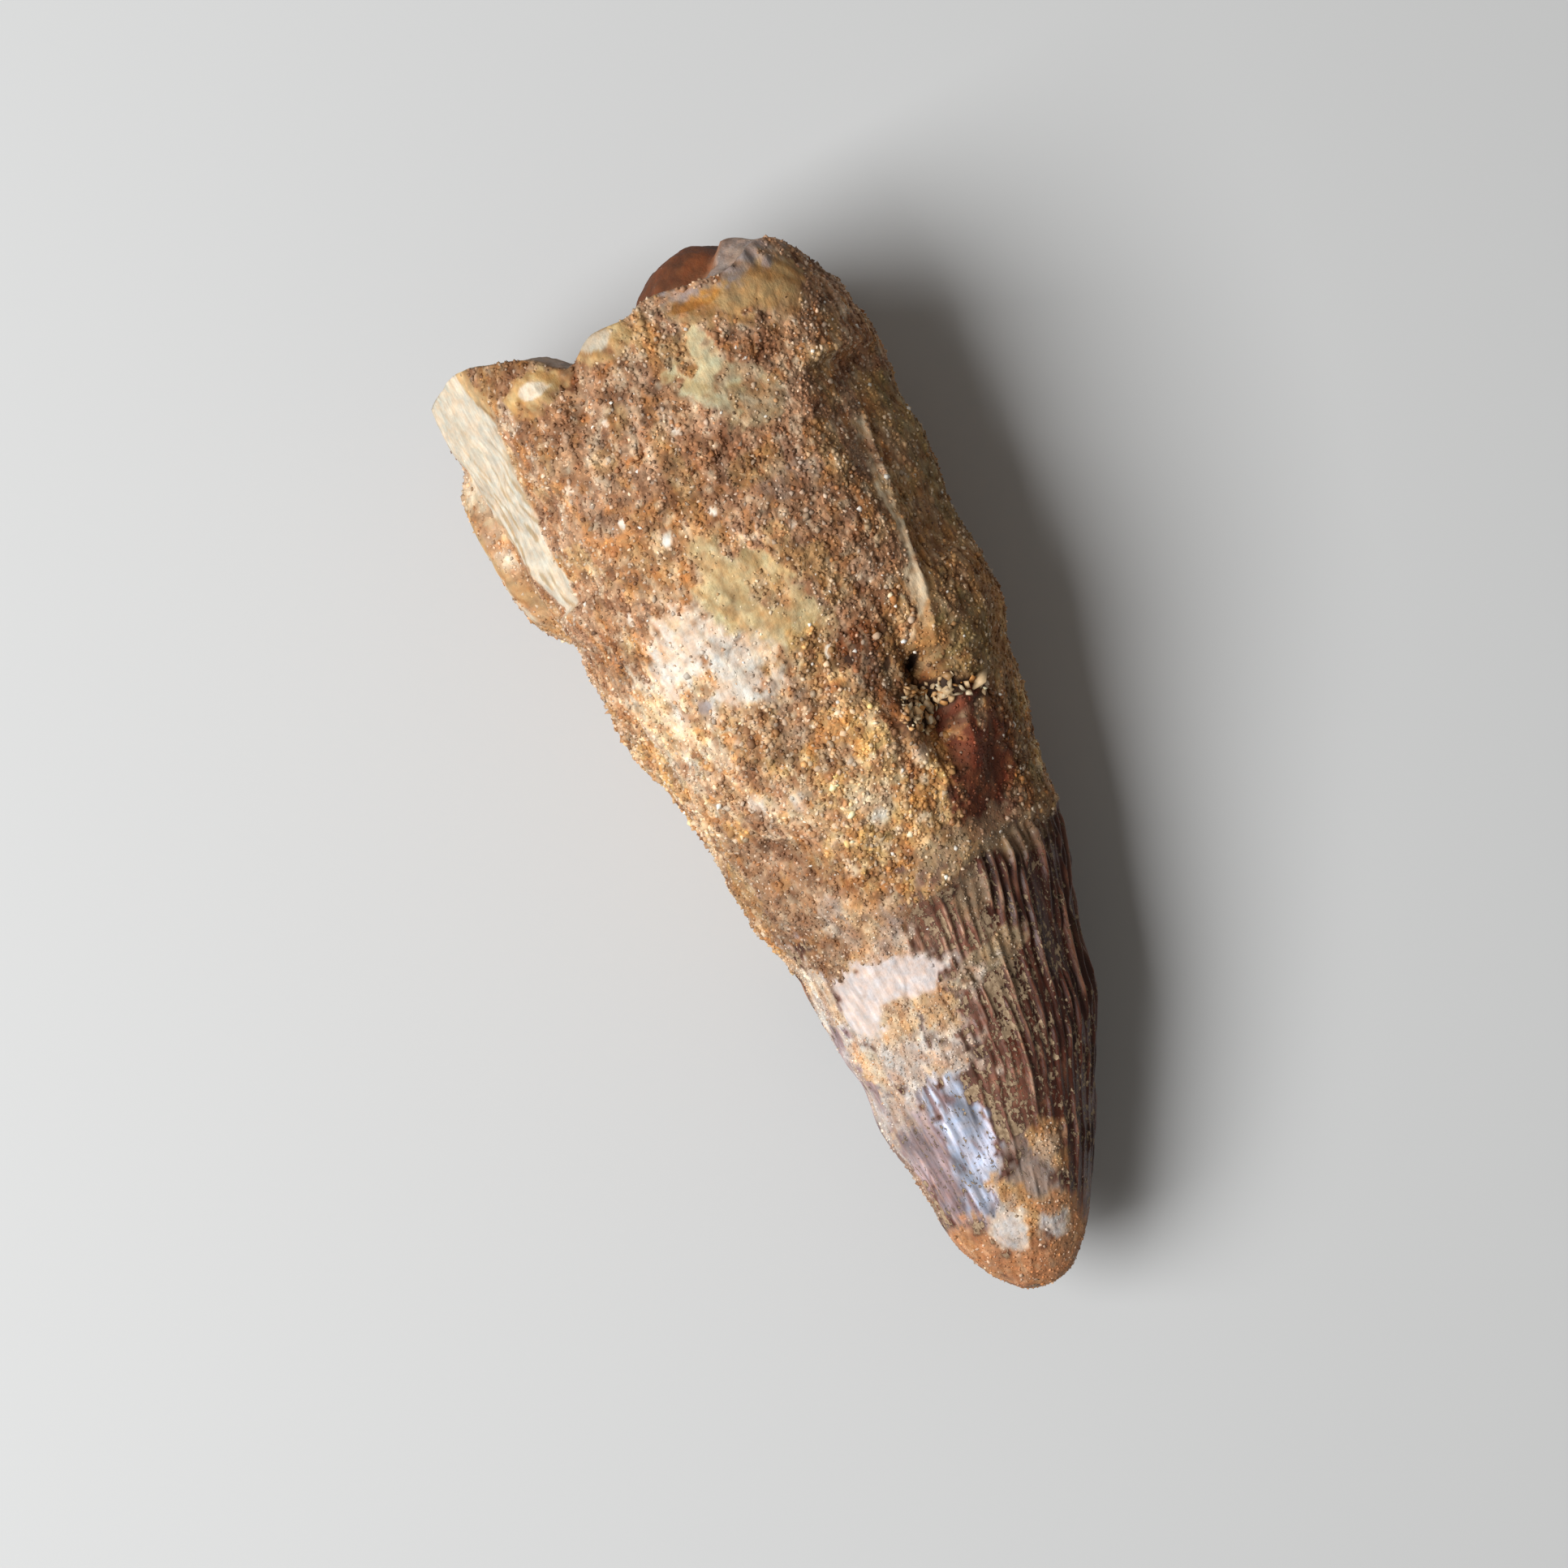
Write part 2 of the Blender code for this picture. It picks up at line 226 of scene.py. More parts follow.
# The smooth side: a superellipse (|cos|^n + |sin|^n)^(-1/n) in each bearing, cut back to the flat
# facets, with the direction that stands out from it.
def sideBase(x, bearing):
    centreY, centreZ, halfWidth, halfHeight, square = sectionAt(x)
    across = np.cos(np.radians(bearing))
    up = np.sin(np.radians(bearing))
    size = (np.abs(across) ** square + np.abs(up) ** square) ** (-1 / square)
    y = halfWidth * size * across
    z = halfHeight * size * up
    radius = np.hypot(y, z)
    fade = toothForm["facetFade"]
    for face, distance, start, end in toothForm["facets"]:
        facing = np.cos(np.arctan2(z, y) - np.radians(face))
        held = within(start - fade, start, end, end + fade, x)
        plane = distance / np.maximum(facing, 0.05) + toothForm["facetClear"] * (1 - held)
        radius = softLeast(radius, plane, toothForm["facetSoftness"])
    shrink = radius / np.maximum(np.hypot(y, z), 1e-9)
    out = np.stack([across / np.maximum(halfWidth, 0.1), up / np.maximum(halfHeight, 0.1)])
    out = out / np.hypot(out[0], out[1])
    return {"x": x, "bearing": bearing, "y": centreY + y * shrink, "z": centreZ + z * shrink,
            "radius": radius, "outY": out[0], "outZ": out[1]}


# Where the crust's wavy edges are read: x shifted by broad swellings.
def alongCrust(side):
    size, reach = toothForm["crustWaves"]
    return side["x"] + reach * swell(side["x"], side["y"], side["z"], size, 21)


# One swelling e^-(d^n) of an ellipse in x and along the surface.
def bump(side, at, face, halfLength, halfWidth, crispness):
    arc = arcBetween(side["bearing"], face, side["radius"])
    return np.exp(-(((side["x"] - at) / halfLength) ** 2 + (arc / halfWidth) ** 2) ** crispness)


# The solid's relief without its flutes: swellings, grit, the crust, the lumps and the pits.
def solidRelief(side):
    x, y, z = side["x"], side["y"], side["z"]
    crown = ease(*toothForm["rootToCrown"], x)
    relief = np.zeros_like(x)
    for seed, (size, onRoot, onCrown) in ((3, toothForm["lumps"]), (11, toothForm["grit"])):
        relief += (onRoot + (onCrown - onRoot) * crown) * swell(x, y, z, size, seed)
    start, end = toothForm["crust"]
    rise = toothForm["crustRise"]
    along = alongCrust(side)
    crust = within(start - rise, start, end, end + toothForm["crustEdge"], along)
    relief += toothForm["crustThickness"] * (crust - 0.5 * ease(start - rise, start, x))
    for at, face, halfLength, halfWidth, height, crispness in toothForm["forms"]:
        relief += height * bump(side, at, face, halfLength, halfWidth, crispness)
    return relief


# How bare the crown's flutes lie, from 0 under the crust to 1.
def fluteBareness(side):
    start, end = toothForm["flutes"]
    fade = toothForm["fluteFade"]
    return ease(start, start + fade, alongCrust(side)) * ease(end, end - 2 * fade, side["x"])


# The solid's flutes: one cosine wave for each.
def solidFlutes(side):
    wave = np.cos(np.radians(side["bearing"]) * toothForm["fluteCount"])
    return wave * toothForm["fluteShare"] * side["radius"] * fluteBareness(side)


# Distance of the broken rim from x = 0, with its small jags.
def rimAt(bearing):
    size, height = toothForm["rimJags"]
    turn = np.radians(bearing)
    circle = toothForm["rimRadius"] * np.cos(turn), toothForm["rimRadius"] * np.sin(turn)
    known = np.array(toothForm["rim"])
    jags = swell(np.zeros_like(turn), *circle, size, 5)
    return through(known[:, 0], known[:, 1], bearing % 360.0) + height * jags


# Places of rings along x: even steps, and over the tip the sines of even turns. A skin that ends on
# its way along the tooth goes on a little, under the next one.
def ringPlaces(start, end, bodyRings, tipRings):
    tipStart, length = toothForm["tipStart"], toothForm["length"]
    first = start - skinForms["join"] * (start > 0)
    if end < length:
        return np.linspace(first, end + skinForms["join"], bodyRings)
    turns = np.radians(np.linspace(0.0, 90.0, tipRings, endpoint=False))
    body = np.linspace(first, tipStart, bodyRings, endpoint=False)
    return np.concatenate([body, tipStart + (length - tipStart) * np.sin(turns)])


# The smooth side on a grid of rings by sides. The skin's rim may be set back a little more.
def sideGrid(places, sides, setBack=(0.0, 1.0, 0.0)):
    bearing = np.arange(sides) * 360.0 / sides
    x, bearing = np.meshgrid(places, bearing, indexing="ij")
    face, half, far = setBack
    rim = rimAt(bearing) + far * np.exp(-(((bearing - face) / half) ** 2))
    return sideBase(x + rim * ease(toothForm["rimReach"], 0.0, x), bearing)


# The side's points once its relief is on it. Relief fades out at the very tip.
def raised(side, relief):
    relief = relief * ease(toothForm["length"], toothForm["length"] - toothForm["tipFade"], side["x"])
    y = side["y"] + relief * side["outY"]
    z = side["z"] + relief * side["outZ"]
    return np.stack([side["x"], y, z], axis=-1)


# Rings of the broken end, drawn from the rim in to its middle, and how deep inside it they are.
def endRings(rim, count):
    middle = rim.mean(axis=0)
    shares = np.linspace(1.0, 0.0, count + 1, endpoint=False)[1:, None, None]
    rings = middle + (rim - middle) * shares
    depth = np.hypot(*(rim - middle)[:, 1:].T) * (1.0 - shares[..., 0])
    rings[..., 0] = endLevel(rings, rim[:, 0], depth)
    return rings, depth


# X of the broken end: the wall is level with the rim, the hollow lies behind it, and the filling
# stands out of the hollow by e^-(d^4).
def endLevel(points, rimX, depth):
    x, y, z = np.moveaxis(points, -1, 0)
    wall = toothForm["wallThickness"]
    inside = ease(0.6 * wall, 1.3 * wall, depth)
    level = rimX + (toothForm["endLevel"] - rimX) * ease(0.0, 2.5 * wall, depth)
    size, height = toothForm["endJags"]
    proud = toothForm["filling"][4] * np.exp(-(fillingDistance(y, z) ** 2))
    return level + toothForm["endHollow"] * inside - proud + height * swell(x, y, z, size, 7)


# Square of the distance from the filling's middle, 1 at its edge.
def fillingDistance(y, z):
    atY, atZ, halfWidth, halfHeight, _ = toothForm["filling"]
    return ((y - atY) / halfWidth) ** 2 + ((z - atZ) / halfHeight) ** 2


# The very tip, where the rings come together.
def tipPoint():
    centreY, centreZ = sectionAt(np.array([toothForm["length"]]))[:2]
    return np.array([toothForm["length"], centreY[0], centreZ[0]])


# The solid is centred on its own box, so its points tell how far the skin has to be shifted.
def solidShift():
    sides, bodyRings, tipRings, endCount = toothForm["solidGrid"]
    side = sideGrid(ringPlaces(0.0, toothForm["length"], bodyRings, tipRings), sides)
    side = raised(side, solidRelief(side) + solidFlutes(side))
    end = endRings(side[0], endCount)[0]
    points = np.concatenate([side.reshape(-1, 3), end.reshape(-1, 3), tipPoint()[None]])
    middle = (points.min(axis=0) + points.max(axis=0)) / 2
    return np.array([middle[0], middle[1], 0.0])


# Each finish of the fossil: red, green and blue as they look in daylight, share covered by sand
# grains, how much it is bare enamel, the size of the grains, and how many of them are pale or dark.
finishes = {
    "rust": (0.7, 0.545, 0.42, 0.95, 0.0, 0.3, 0.18, 0.03),
    "darkRust": (0.585, 0.42, 0.3, 0.95, 0.0, 0.31, 0.13, 0.05),
    "tan": (0.73, 0.61, 0.475, 0.95, 0.0, 0.29, 0.18, 0.02),
    "gold": (0.78, 0.635, 0.44, 1.0, 0.0, 0.32, 0.18, 0.04),
    "deepGold": (0.83, 0.635, 0.37, 0.9, 0.0, 0.34, 0.14, 0.03),
    "greenTan": (0.81, 0.725, 0.54, 0.25, 0.0, 0.24, 0.15, 0.03),
    "greyGreen": (0.815, 0.775, 0.62, 0.05, 0.0, 0.24, 0.1, 0.0),
    "white": (0.87, 0.84, 0.795, 0.34, 0.0, 0.25, 0.2, 0.0),
    "paleSand": (0.81, 0.75, 0.66, 0.75, 0.0, 0.27, 0.2, 0.01),
    "cream": (0.815, 0.775, 0.7, 0.03, 0.0, 0.22, 0.2, 0.0),
    "fibrousTan": (0.64, 0.5, 0.37, 0.15, 0.0, 0.26, 0.1, 0.0),
    "layerTan": (0.76, 0.63, 0.5, 0.5, 0.0, 0.25, 0.3, 0.02),
    "ochre": (0.715, 0.57, 0.375, 0.04, 0.0, 0.24, 0.1, 0.0),
    "orange": (0.73, 0.5, 0.23, 0.05, 0.0, 0.24, 0.05, 0.0),
    "darkBrown": (0.475, 0.26, 0.13, 0.9, 0.0, 0.33, 0.12, 0.08),
    "pitBrown": (0.22, 0.13, 0.075, 0.45, 0.0, 0.62, 0.1, 0.1),
    "greyBone": (0.62, 0.56, 0.55, 0.05, 0.0, 0.26, 0.1, 0.0),
    "facetBrown": (0.68, 0.52, 0.33, 0.65, 0.0, 0.27, 0.12, 0.04),
    "facetGreen": (0.53, 0.45, 0.28, 0.6, 0.0, 0.27, 0.2, 0.05),
    "seamTan": (0.83, 0.75, 0.63, 0.0, 0.0, 0.24, 0.1, 0.0),
    "pinkBrown": (0.62, 0.48, 0.365, 0.75, 0.0, 0.25, 0.18, 0.02),
    "enamel": (0.29, 0.135, 0.08, 0.02, 1.0, 0.19, 0.8, 0.0),
    # Brighter enamel laid on the crown's top, towards the lamp: painted light.
    "paintedLightEnamel": (0.47, 0.31, 0.25, 0.10, 1.0, 0.19, 0.6, 0.0),
    "redEnamel": (0.48, 0.215, 0.12, 0.5, 0.0, 0.22, 0.05, 0.1),
    "redStreak": (0.5, 0.25, 0.15, 0.4, 0.0, 0.22, 0.1, 0.0),
    "mauveEnamel": (0.57, 0.49, 0.5, 0.02, 1.0, 0.18, 0.8, 0.0),
    # Bare glossy enamel, coloured bluish white as a painted reflection of the lamp.
    "paintedSheenEnamel": (0.71, 0.735, 0.81, 0.01, 1.0, 0.18, 0.8, 0.0),
    "pinkWhite": (0.855, 0.795, 0.77, 0.02, 0.0, 0.2, 0.2, 0.0),
    "crownSand": (0.77, 0.73, 0.695, 0.5, 0.0, 0.2, 0.1, 0.0),
    "crownGold": (0.79, 0.6, 0.39, 0.55, 0.0, 0.22, 0.15, 0.0),
    "grooveSand": (0.63, 0.55, 0.43, 0.45, 0.5, 0.21, 0.2, 0.03),
    "wornGrey": (0.62, 0.55, 0.51, 0.2, 0.5, 0.2, 0.25, 0.0),
    "tipOrange": (0.735, 0.515, 0.355, 0.4, 0.1, 0.24, 0.15, 0.02),
    "filling": (0.405, 0.22, 0.105, 0.06, 0.0, 0.24, 0.1, 0.05),
    # The filling's paler edge: a painted highlight on its rounded rim.
    "fillingPaintedHighlight": (0.60, 0.41, 0.29, 0.03, 0.0, 0.24, 0.1, 0.0),
    # Near-black of small holes: painted shade.
    "paintedHoleShade": (0.13, 0.08, 0.05, 0.15, 0.0, 0.24, 0.0, 0.0),
    "goldBone": (0.80, 0.67, 0.45, 0.12, 0.0, 0.24, 0.1, 0.0),
    "fleck": (0.94, 0.91, 0.86, 0.0, 0.0, 0.24, 0.0, 0.0),
    "hollowSand": (0.42, 0.29, 0.2, 1.0, 0.0, 0.36, 0.1, 0.15),
}

# What the rest of a finish's row says, by its column.
sandyColumn, enamelColumn, sizeColumn, paleColumn, darkColumn = 3, 4, 5, 6, 7

# Where the finishes lie on the side, and what marks they have there.
colouring = {
    # Swellings that they follow: share, how x is squeezed, size, seed. Where x is squeezed by less
    # than 1, they are drawn out along the tooth.
    "ragged": ((0.34, 1.0, 1.9, 61), (0.34, 1.0, 0.85, 62), (0.30, 1.0, 0.4, 60)),
    "broad": ((1.0, 1.0, 5.0, 63), (0.5, 1.0, 2.2, 64)),
    "spots": ((1.0, 1.0, 1.5, 65),),
    "clouds": ((1.0, 1.0, 2.4, 66),),

    # The ground's mottles: finish, swellings, where they start and are full, strength.
    "rootMottles": (
        ("darkRust", "broad", 0.1, 0.9, 0.75),
        ("tan", "broad", 0.0, -0.9, 0.75),
    ),
    "crustMottles": (
        ("deepGold", "spots", 0.25, 0.6, 0.6),
        ("darkRust", "spots", -0.25, -0.6, 0.7),
        ("paleSand", "clouds", 0.3, 0.7, 0.6),
    ),
    "crust": (23.0, 34.0, 4.0),  # x where the gold starts and is full, how ragged it starts
    "crown": (46.6, 47.8, 1.2),  # the same of the enamel

    "softEdge": 0.25,  # half of how far an edge fades
    "bandRagged": 0.8,  # how ragged the edges of bands are, beside 1 for the patches
    "crispRagged": 0.5,  # and those of the clean finishes
    # These stay clean at their edges, where the others fray.
    "crisp": ("greyGreen", "greenTan", "cream", "orange", "pinkWhite", "paintedHoleShade", "goldBone",
              "fleck"),

    # Long bands: finish, strength, then x, lower bearing and upper bearing along them.
    "bands": (
        ("facetBrown", 0.9, ((14, -28, 34), (17, -28, 38), (23, -28, 47), (29, -24, 53), (36, -20, 48))),
        ("facetGreen", 0.7, ((14, 8, 22), (20, 10, 26), (26, 6, 20))),
        ("seamTan", 0.92, ((16.5, 38, 43), (20, 44, 49), (24, 48, 53.5), (28, 52, 57), (31, 54.5, 57))),
        ("layerTan", 0.9, ((5, 180, 205), (9, 180, 208), (14, 172, 206), (19, 166, 200), (22, 164, 184))),
        ("ochre", 0.6, ((8, 184, 187), (12, 181, 184), (15, 178, 182), (18, 174, 178))),
        ("cream", 0.97, ((0, 138, 196), (5, 137, 190), (9, 143, 182), (13, 148, 172), (19, 149, 160))),
        ("ochre", 0.8, ((0, 132, 142), (3, 133, 144), (5, 134, 138))),
    ),

    # Patches laid over each other in this order: finish, x, bearing, half length, half width, turn
    # in degrees, strength.
    "patches": (
        # The rim and the upper root.
        ("ochre", 5.0, 57.0, 2.0, 4.2, 0, 0.95),
        ("ochre", 6.6, 50.0, 1.6, 1.6, 0, 0.7),
        ("orange", 4.7, 70.5, 0.6, 1.5, 0, 0.9),
        ("greyBone", 3.1, 59.0, 1.5, 4.0, 0, 0.9),
        ("goldBone", 4.6, 97.0, 1.4, 1.7, 0, 0.8),
        ("cream", 4.2, 99.0, 0.8, 0.9, 0, 0.9),
        ("darkRust", 7.8, 91.0, 2.4, 2.8, 0, 0.55),
        ("darkBrown", 5.0, 110.5, 1.7, 0.8, 0, 0.95),
        ("ochre", 5.0, 114.0, 1.1, 1.0, 0, 0.6),
        ("goldBone", 5.3, 120.5, 1.5, 1.9, 0, 0.9),
        ("fleck", 5.3, 118.6, 0.7, 0.9, 10, 0.75),
        ("orange", 6.4, 124.0, 1.1, 0.3, 10, 0.5),
        ("darkRust", 3.2, 128.0, 1.2, 2.2, 0, 0.9),
        ("greyGreen", 8.2, 76.5, 2.0, 0.7, 5, 0.95),
        ("greyGreen", 11.0, 75.5, 3.4, 1.6, -40, 0.97),
        ("greyGreen", 12.5, 70.5, 1.9, 2.0, -40, 0.98),
        ("darkRust", 8.8, 81.7, 0.6, 0.5, 0, 0.8),
        ("orange", 8.9, 81.7, 0.35, 0.35, 0, 0.45),
        # The layer beside the pale strip.
        ("paleSand", 7.5, 184.0, 2.0, 1.0, 0, 0.7),
        ("paleSand", 12.0, 176.0, 3.0, 0.7, -8, 0.8),
        ("cream", 15.5, 183.0, 3.6, 0.6, 0, 0.75),
        ("redStreak", 6.0, 184.0, 0.9, 0.6, 0, 0.6),
        ("darkRust", 11.0, 190.0, 3.0, 1.0, 0, 0.5),
        ("darkRust", 17.0, 186.0, 2.4, 0.7, 10, 0.5),
        # The middle of the root.
        ("tan", 17.0, 128.0, 7.0, 4.0, 0, 0.25),
        ("darkRust", 20.6, 121.0, 3.0, 3.4, 0, 0.45),
        ("darkRust", 9.5, 124.0, 2.6, 2.6, 0, 0.3),
        ("deepGold", 19.5, 110.0, 4.4, 3.4, 0, 0.4),
        ("darkRust", 17.0, 72.0, 7.0, 3.5, 0, 0.45),
        ("greyBone", 18.5, 73.0, 1.6, 1.6, 0, 0.35),
        ("fleck", 15.9, 117.0, 0.45, 0.25, 20, 0.95),
        ("fleck", 18.2, 109.0, 0.6, 0.28, 30, 0.95),
        ("fleck", 17.9, 94.5, 0.4, 0.25, 0, 0.9),
        ("fleck", 12.1, 93.0, 0.35, 0.25, 40, 0.8),
        ("fleck", 12.3, 125.5, 0.3, 0.3, 0, 0.7),
        ("fleck", 9.5, 108.0, 0.3, 0.25, 0, 0.7),
        ("fleck", 20.9, 78.0, 0.35, 0.25, 0, 0.7),
        ("fleck", 21.8, 131.0, 0.4, 0.25, 20, 0.8),
        ("darkRust", 24.5, 73.0, 5.0, 3.2, 0, 0.6),
        ("paleSand", 28.5, 134.0, 5.0, 4.0, 25, 0.8),
        ("paleSand", 29.8, 143.0, 2.4, 2.4, 0, 0.9),
        ("white", 29.8, 143.0, 2.2, 2.2, 0, 0.25),
        ("paleSand", 32.5, 146.0, 3.8, 2.6, 0, 0.75),
        ("rust", 35.4, 133.0, 2.4, 2.6, 0, 0.55),
        ("white", 25.0, 121.0, 2.4, 3.2, -20, 0.95),
        ("white", 27.0, 108.5, 2.2, 4.0, -15, 0.95),
        ("white", 28.9, 113.5, 2.3, 2.4, 0, 0.95),
        ("white", 30.2, 104.5, 1.1, 1.3, 0, 0.7),
        ("white", 29.6, 137.0, 2.6, 1.1, 20, 0.6),
        ("gold", 28.0, 120.5, 0.9, 0.9, 0, 0.6),
        ("greyBone", 29.3, 124.5, 0.45, 0.5, 0, 0.8),
        ("greenTan", 21.2, 102.5, 2.2, 1.1, 0, 0.75),
        ("greenTan", 23.6, 98.5, 2.9, 2.6, -35, 0.95),
        ("greenTan", 25.6, 93.0, 2.6, 2.2, -30, 0.9),
        ("greenTan", 27.9, 89.0, 2.0, 2.0, -20, 0.7),
        ("ochre", 26.0, 97.0, 1.0, 1.2, 0, 0.5),
        ("tan", 24.3, 92.0, 1.3, 0.9, -30, 0.6),
        # The dark crease, the lump below it and the coarse sand in the pit.
        ("darkRust", 29.8, 82.0, 1.2, 2.2, 25, 0.6),
        ("deepGold", 28.7, 88.5, 1.3, 1.4, 0, 0.55),
        ("fleck", 29.5, 85.5, 0.5, 0.22, 25, 0.9),
        ("fleck", 30.2, 83.0, 0.45, 0.25, 15, 0.85),
        ("tan", 21.5, 39.5, 4.6, 1.7, 8, 0.5),
        ("darkBrown", 30.4, 74.0, 1.4, 2.3, 20, 0.85),
        ("darkBrown", 32.2, 68.5, 1.9, 2.0, 0, 0.95),
        ("darkRust", 32.6, 78.0, 1.6, 1.8, 0, 0.7),
        ("gold", 35.3, 82.5, 2.1, 2.1, 0, 0.9),
        ("paleSand", 34.9, 80.5, 0.9, 0.9, 0, 0.8),
        ("facetBrown", 33.0, 50.0, 3.0, 3.6, 0, 0.9),
        ("facetGreen", 33.4, 43.0, 3.0, 2.6, 0, 0.7),
        # Near-black spots where small holes lie: painted shade.
        ("paintedHoleShade", 32.6, 60.0, 0.55, 0.5, 0, 1.0),
        ("paintedHoleShade", 31.2, 76.0, 0.35, 0.25, 30, 0.75),
        ("paintedHoleShade", 32.0, 70.5, 0.45, 0.25, 20, 0.75),
        ("paintedHoleShade", 30.6, 81.0, 0.4, 0.25, 0, 0.6),
        ("paintedHoleShade", 33.3, 73.0, 0.3, 0.4, 0, 0.75),
        ("paintedHoleShade", 33.6, 66.5, 0.6, 0.3, 20, 0.8),
        ("darkBrown", 34.6, 66.0, 1.8, 2.6, 0, 0.9),
        ("pitBrown", 36.0, 65.0, 2.2, 2.2, 0, 0.95),
        ("pitBrown", 34.7, 57.5, 0.7, 1.6, 0, 0.95),
        ("pitBrown", 35.7, 51.0, 0.7, 1.8, 0, 0.9),
        ("pitBrown", 36.4, 45.0, 0.5, 1.3, 0, 0.8),
        ("pitBrown", 38.0, 67.0, 1.0, 1.2, 0, 0.9),
        # The crust.
        ("deepGold", 39.5, 73.0, 2.9, 1.8, 0, 0.85),
        ("white", 38.6, 71.5, 0.9, 0.5, 0, 0.8),
        ("deepGold", 36.4, 93.0, 2.6, 2.6, 0, 0.5),
        ("deepGold", 35.3, 101.5, 0.9, 0.9, 0, 0.7),
        ("deepGold", 41.6, 107.0, 1.6, 2.0, 0, 0.5),
        ("darkRust", 33.4, 106.0, 1.2, 2.2, -40, 0.6),
        ("darkRust", 36.0, 99.0, 1.6, 0.6, 0, 0.7),
        ("darkBrown", 37.2, 128.0, 1.6, 1.0, 0, 0.6),
        ("paleSand", 38.5, 120.0, 3.4, 3.4, 0, 0.5),
        ("paleSand", 39.2, 88.0, 2.6, 2.0, 0, 0.6),
        ("white", 40.1, 73.9, 0.7, 0.5, 0, 0.8),
        ("white", 42.2, 80.0, 0.7, 0.6, 0, 0.8),
        ("white", 41.0, 91.5, 0.6, 0.5, 0, 0.7),
        ("white", 37.8, 112.0, 0.8, 0.5, 0, 0.8),
        ("white", 36.6, 125.0, 0.9, 0.6, 0, 0.8),
        ("white", 43.5, 109.0, 0.7, 0.7, 0, 0.8),
        ("darkRust", 40.2, 134.0, 2.2, 2.4, 0, 0.9),
        ("darkBrown", 40.0, 132.0, 0.9, 1.3, 0, 0.85),
        ("darkBrown", 41.5, 34.0, 4.6, 2.4, 0, 0.7),
        ("facetGreen", 42.0, 24.0, 6.0, 1.2, 0, 0.6),
        ("darkBrown", 34.6, 76.0, 2.6, 0.7, 0, 0.8),
        ("redEnamel", 40.1, 52.0, 3.1, 2.4, 0, 1.0),
        ("redEnamel", 41.2, 43.0, 2.3, 1.8, 0, 0.95),
        ("redEnamel", 42.8, 53.0, 3.0, 2.6, 0, 1.0),
        ("redEnamel", 44.0, 56.0, 1.6, 2.6, 0, 0.9),
        ("redStreak", 40.6, 56.0, 2.4, 0.5, 0, 0.5),
        ("redStreak", 42.8, 51.5, 2.0, 0.4, 5, 0.5),
        ("redStreak", 42.6, 59.5, 1.8, 0.5, 0, 0.6),
        ("deepGold", 38.2, 63.5, 1.2, 0.5, 0, 0.7),
        ("grooveSand", 45.2, 66.0, 1.5, 4.6, 0, 0.65),
        ("grooveSand", 46.2, 44.0, 1.3, 3.0, 0, 0.6),
        ("pinkBrown", 43.5, 143.0, 5.0, 6.6, 20, 0.9),
        ("pinkBrown", 47.0, 122.0, 3.2, 4.6, 0, 0.8),
        ("pinkBrown", 48.6, 130.0, 2.6, 7.0, 0, 0.95),
        ("crownGold", 49.6, 99.5, 2.0, 0.9, 0, 0.85),
        # The crown.
        # Brighter enamel on the top of the crown, towards the lamp: painted light.
        ("paintedLightEnamel", 53.0, 88.0, 7.0, 3.4, 0, 0.75),
        ("paintedLightEnamel", 50.0, 92.0, 2.8, 3.0, 0, 0.6),
        ("paintedLightEnamel", 60.5, 92.0, 6.0, 2.4, 0, 0.7),
        ("paintedLightEnamel", 65.0, 80.0, 3.0, 2.0, 0, 0.5),
        ("crownSand", 47.6, 116.0, 2.6, 2.6, 0, 0.6),
        ("grooveSand", 53.0, 74.5, 1.1, 2.9, -12, 0.9),
        ("grooveSand", 48.9, 75.0, 1.6, 1.2, 0, 0.7),
        ("mauveEnamel", 56.0, 158.0, 9.0, 3.6, 0, 0.9),
        ("mauveEnamel", 62.5, 178.0, 9.0, 3.4, 0, 0.9),
        ("pinkBrown", 66.0, 176.0, 4.0, 1.6, 0, 0.6),
        ("crownSand", 50.5, 155.0, 3.6, 1.8, 0, 0.8),
        ("crownSand", 50.0, 173.0, 4.2, 2.4, 0, 0.85),
        ("crownSand", 58.5, 166.0, 4.4, 1.0, 0, 0.7),
        ("white", 52.0, 169.0, 2.4, 0.5, 0, 0.8),
        ("white", 49.6, 160.0, 1.5, 0.5, 0, 0.8),
        ("white", 54.2, 156.0, 2.2, 0.4, 0, 0.7),
        ("crownSand", 53.4, 124.0, 3.4, 5.6, 0, 0.97),
        ("crownSand", 56.6, 128.0, 4.2, 4.4, 0, 0.95),
        ("crownGold", 54.6, 121.0, 1.5, 1.8, 0, 0.3),
        ("crownSand", 61.0, 146.0, 4.6, 2.4, 0, 0.75),
        ("crownGold", 54.2, 103.0, 2.2, 1.4, 0, 0.7),
        ("crownSand", 57.6, 107.0, 1.6, 1.3, 0, 0.7),
        ("pinkWhite", 51.4, 118.0, 1.5, 3.9, 18, 0.98),
        ("pinkWhite", 52.2, 136.0, 2.4, 1.8, 0, 0.97),
        ("mauveEnamel", 65.0, 137.0, 5.0, 3.0, 0, 0.9),
        # Bluish white painted reflection of the lamp on the glossy enamel.
        ("paintedSheenEnamel", 63.8, 115.0, 4.8, 1.7, -4, 0.9),
        ("paintedSheenEnamel", 60.4, 115.0, 1.6, 1.6, 0, 0.8),
        ("paintedSheenEnamel", 68.5, 116.0, 3.0, 1.5, 0, 0.7),
        ("paintedSheenEnamel", 66.0, 128.0, 2.6, 0.6, 0, 0.5),
        ("wornGrey", 68.6, 84.0, 3.0, 2.2, 0, 0.9),
        ("crownGold", 66.2, 66.0, 1.7, 1.2, -20, 0.8),
        ("crownSand", 66.8, 64.5, 1.3, 1.1, 0, 0.45),
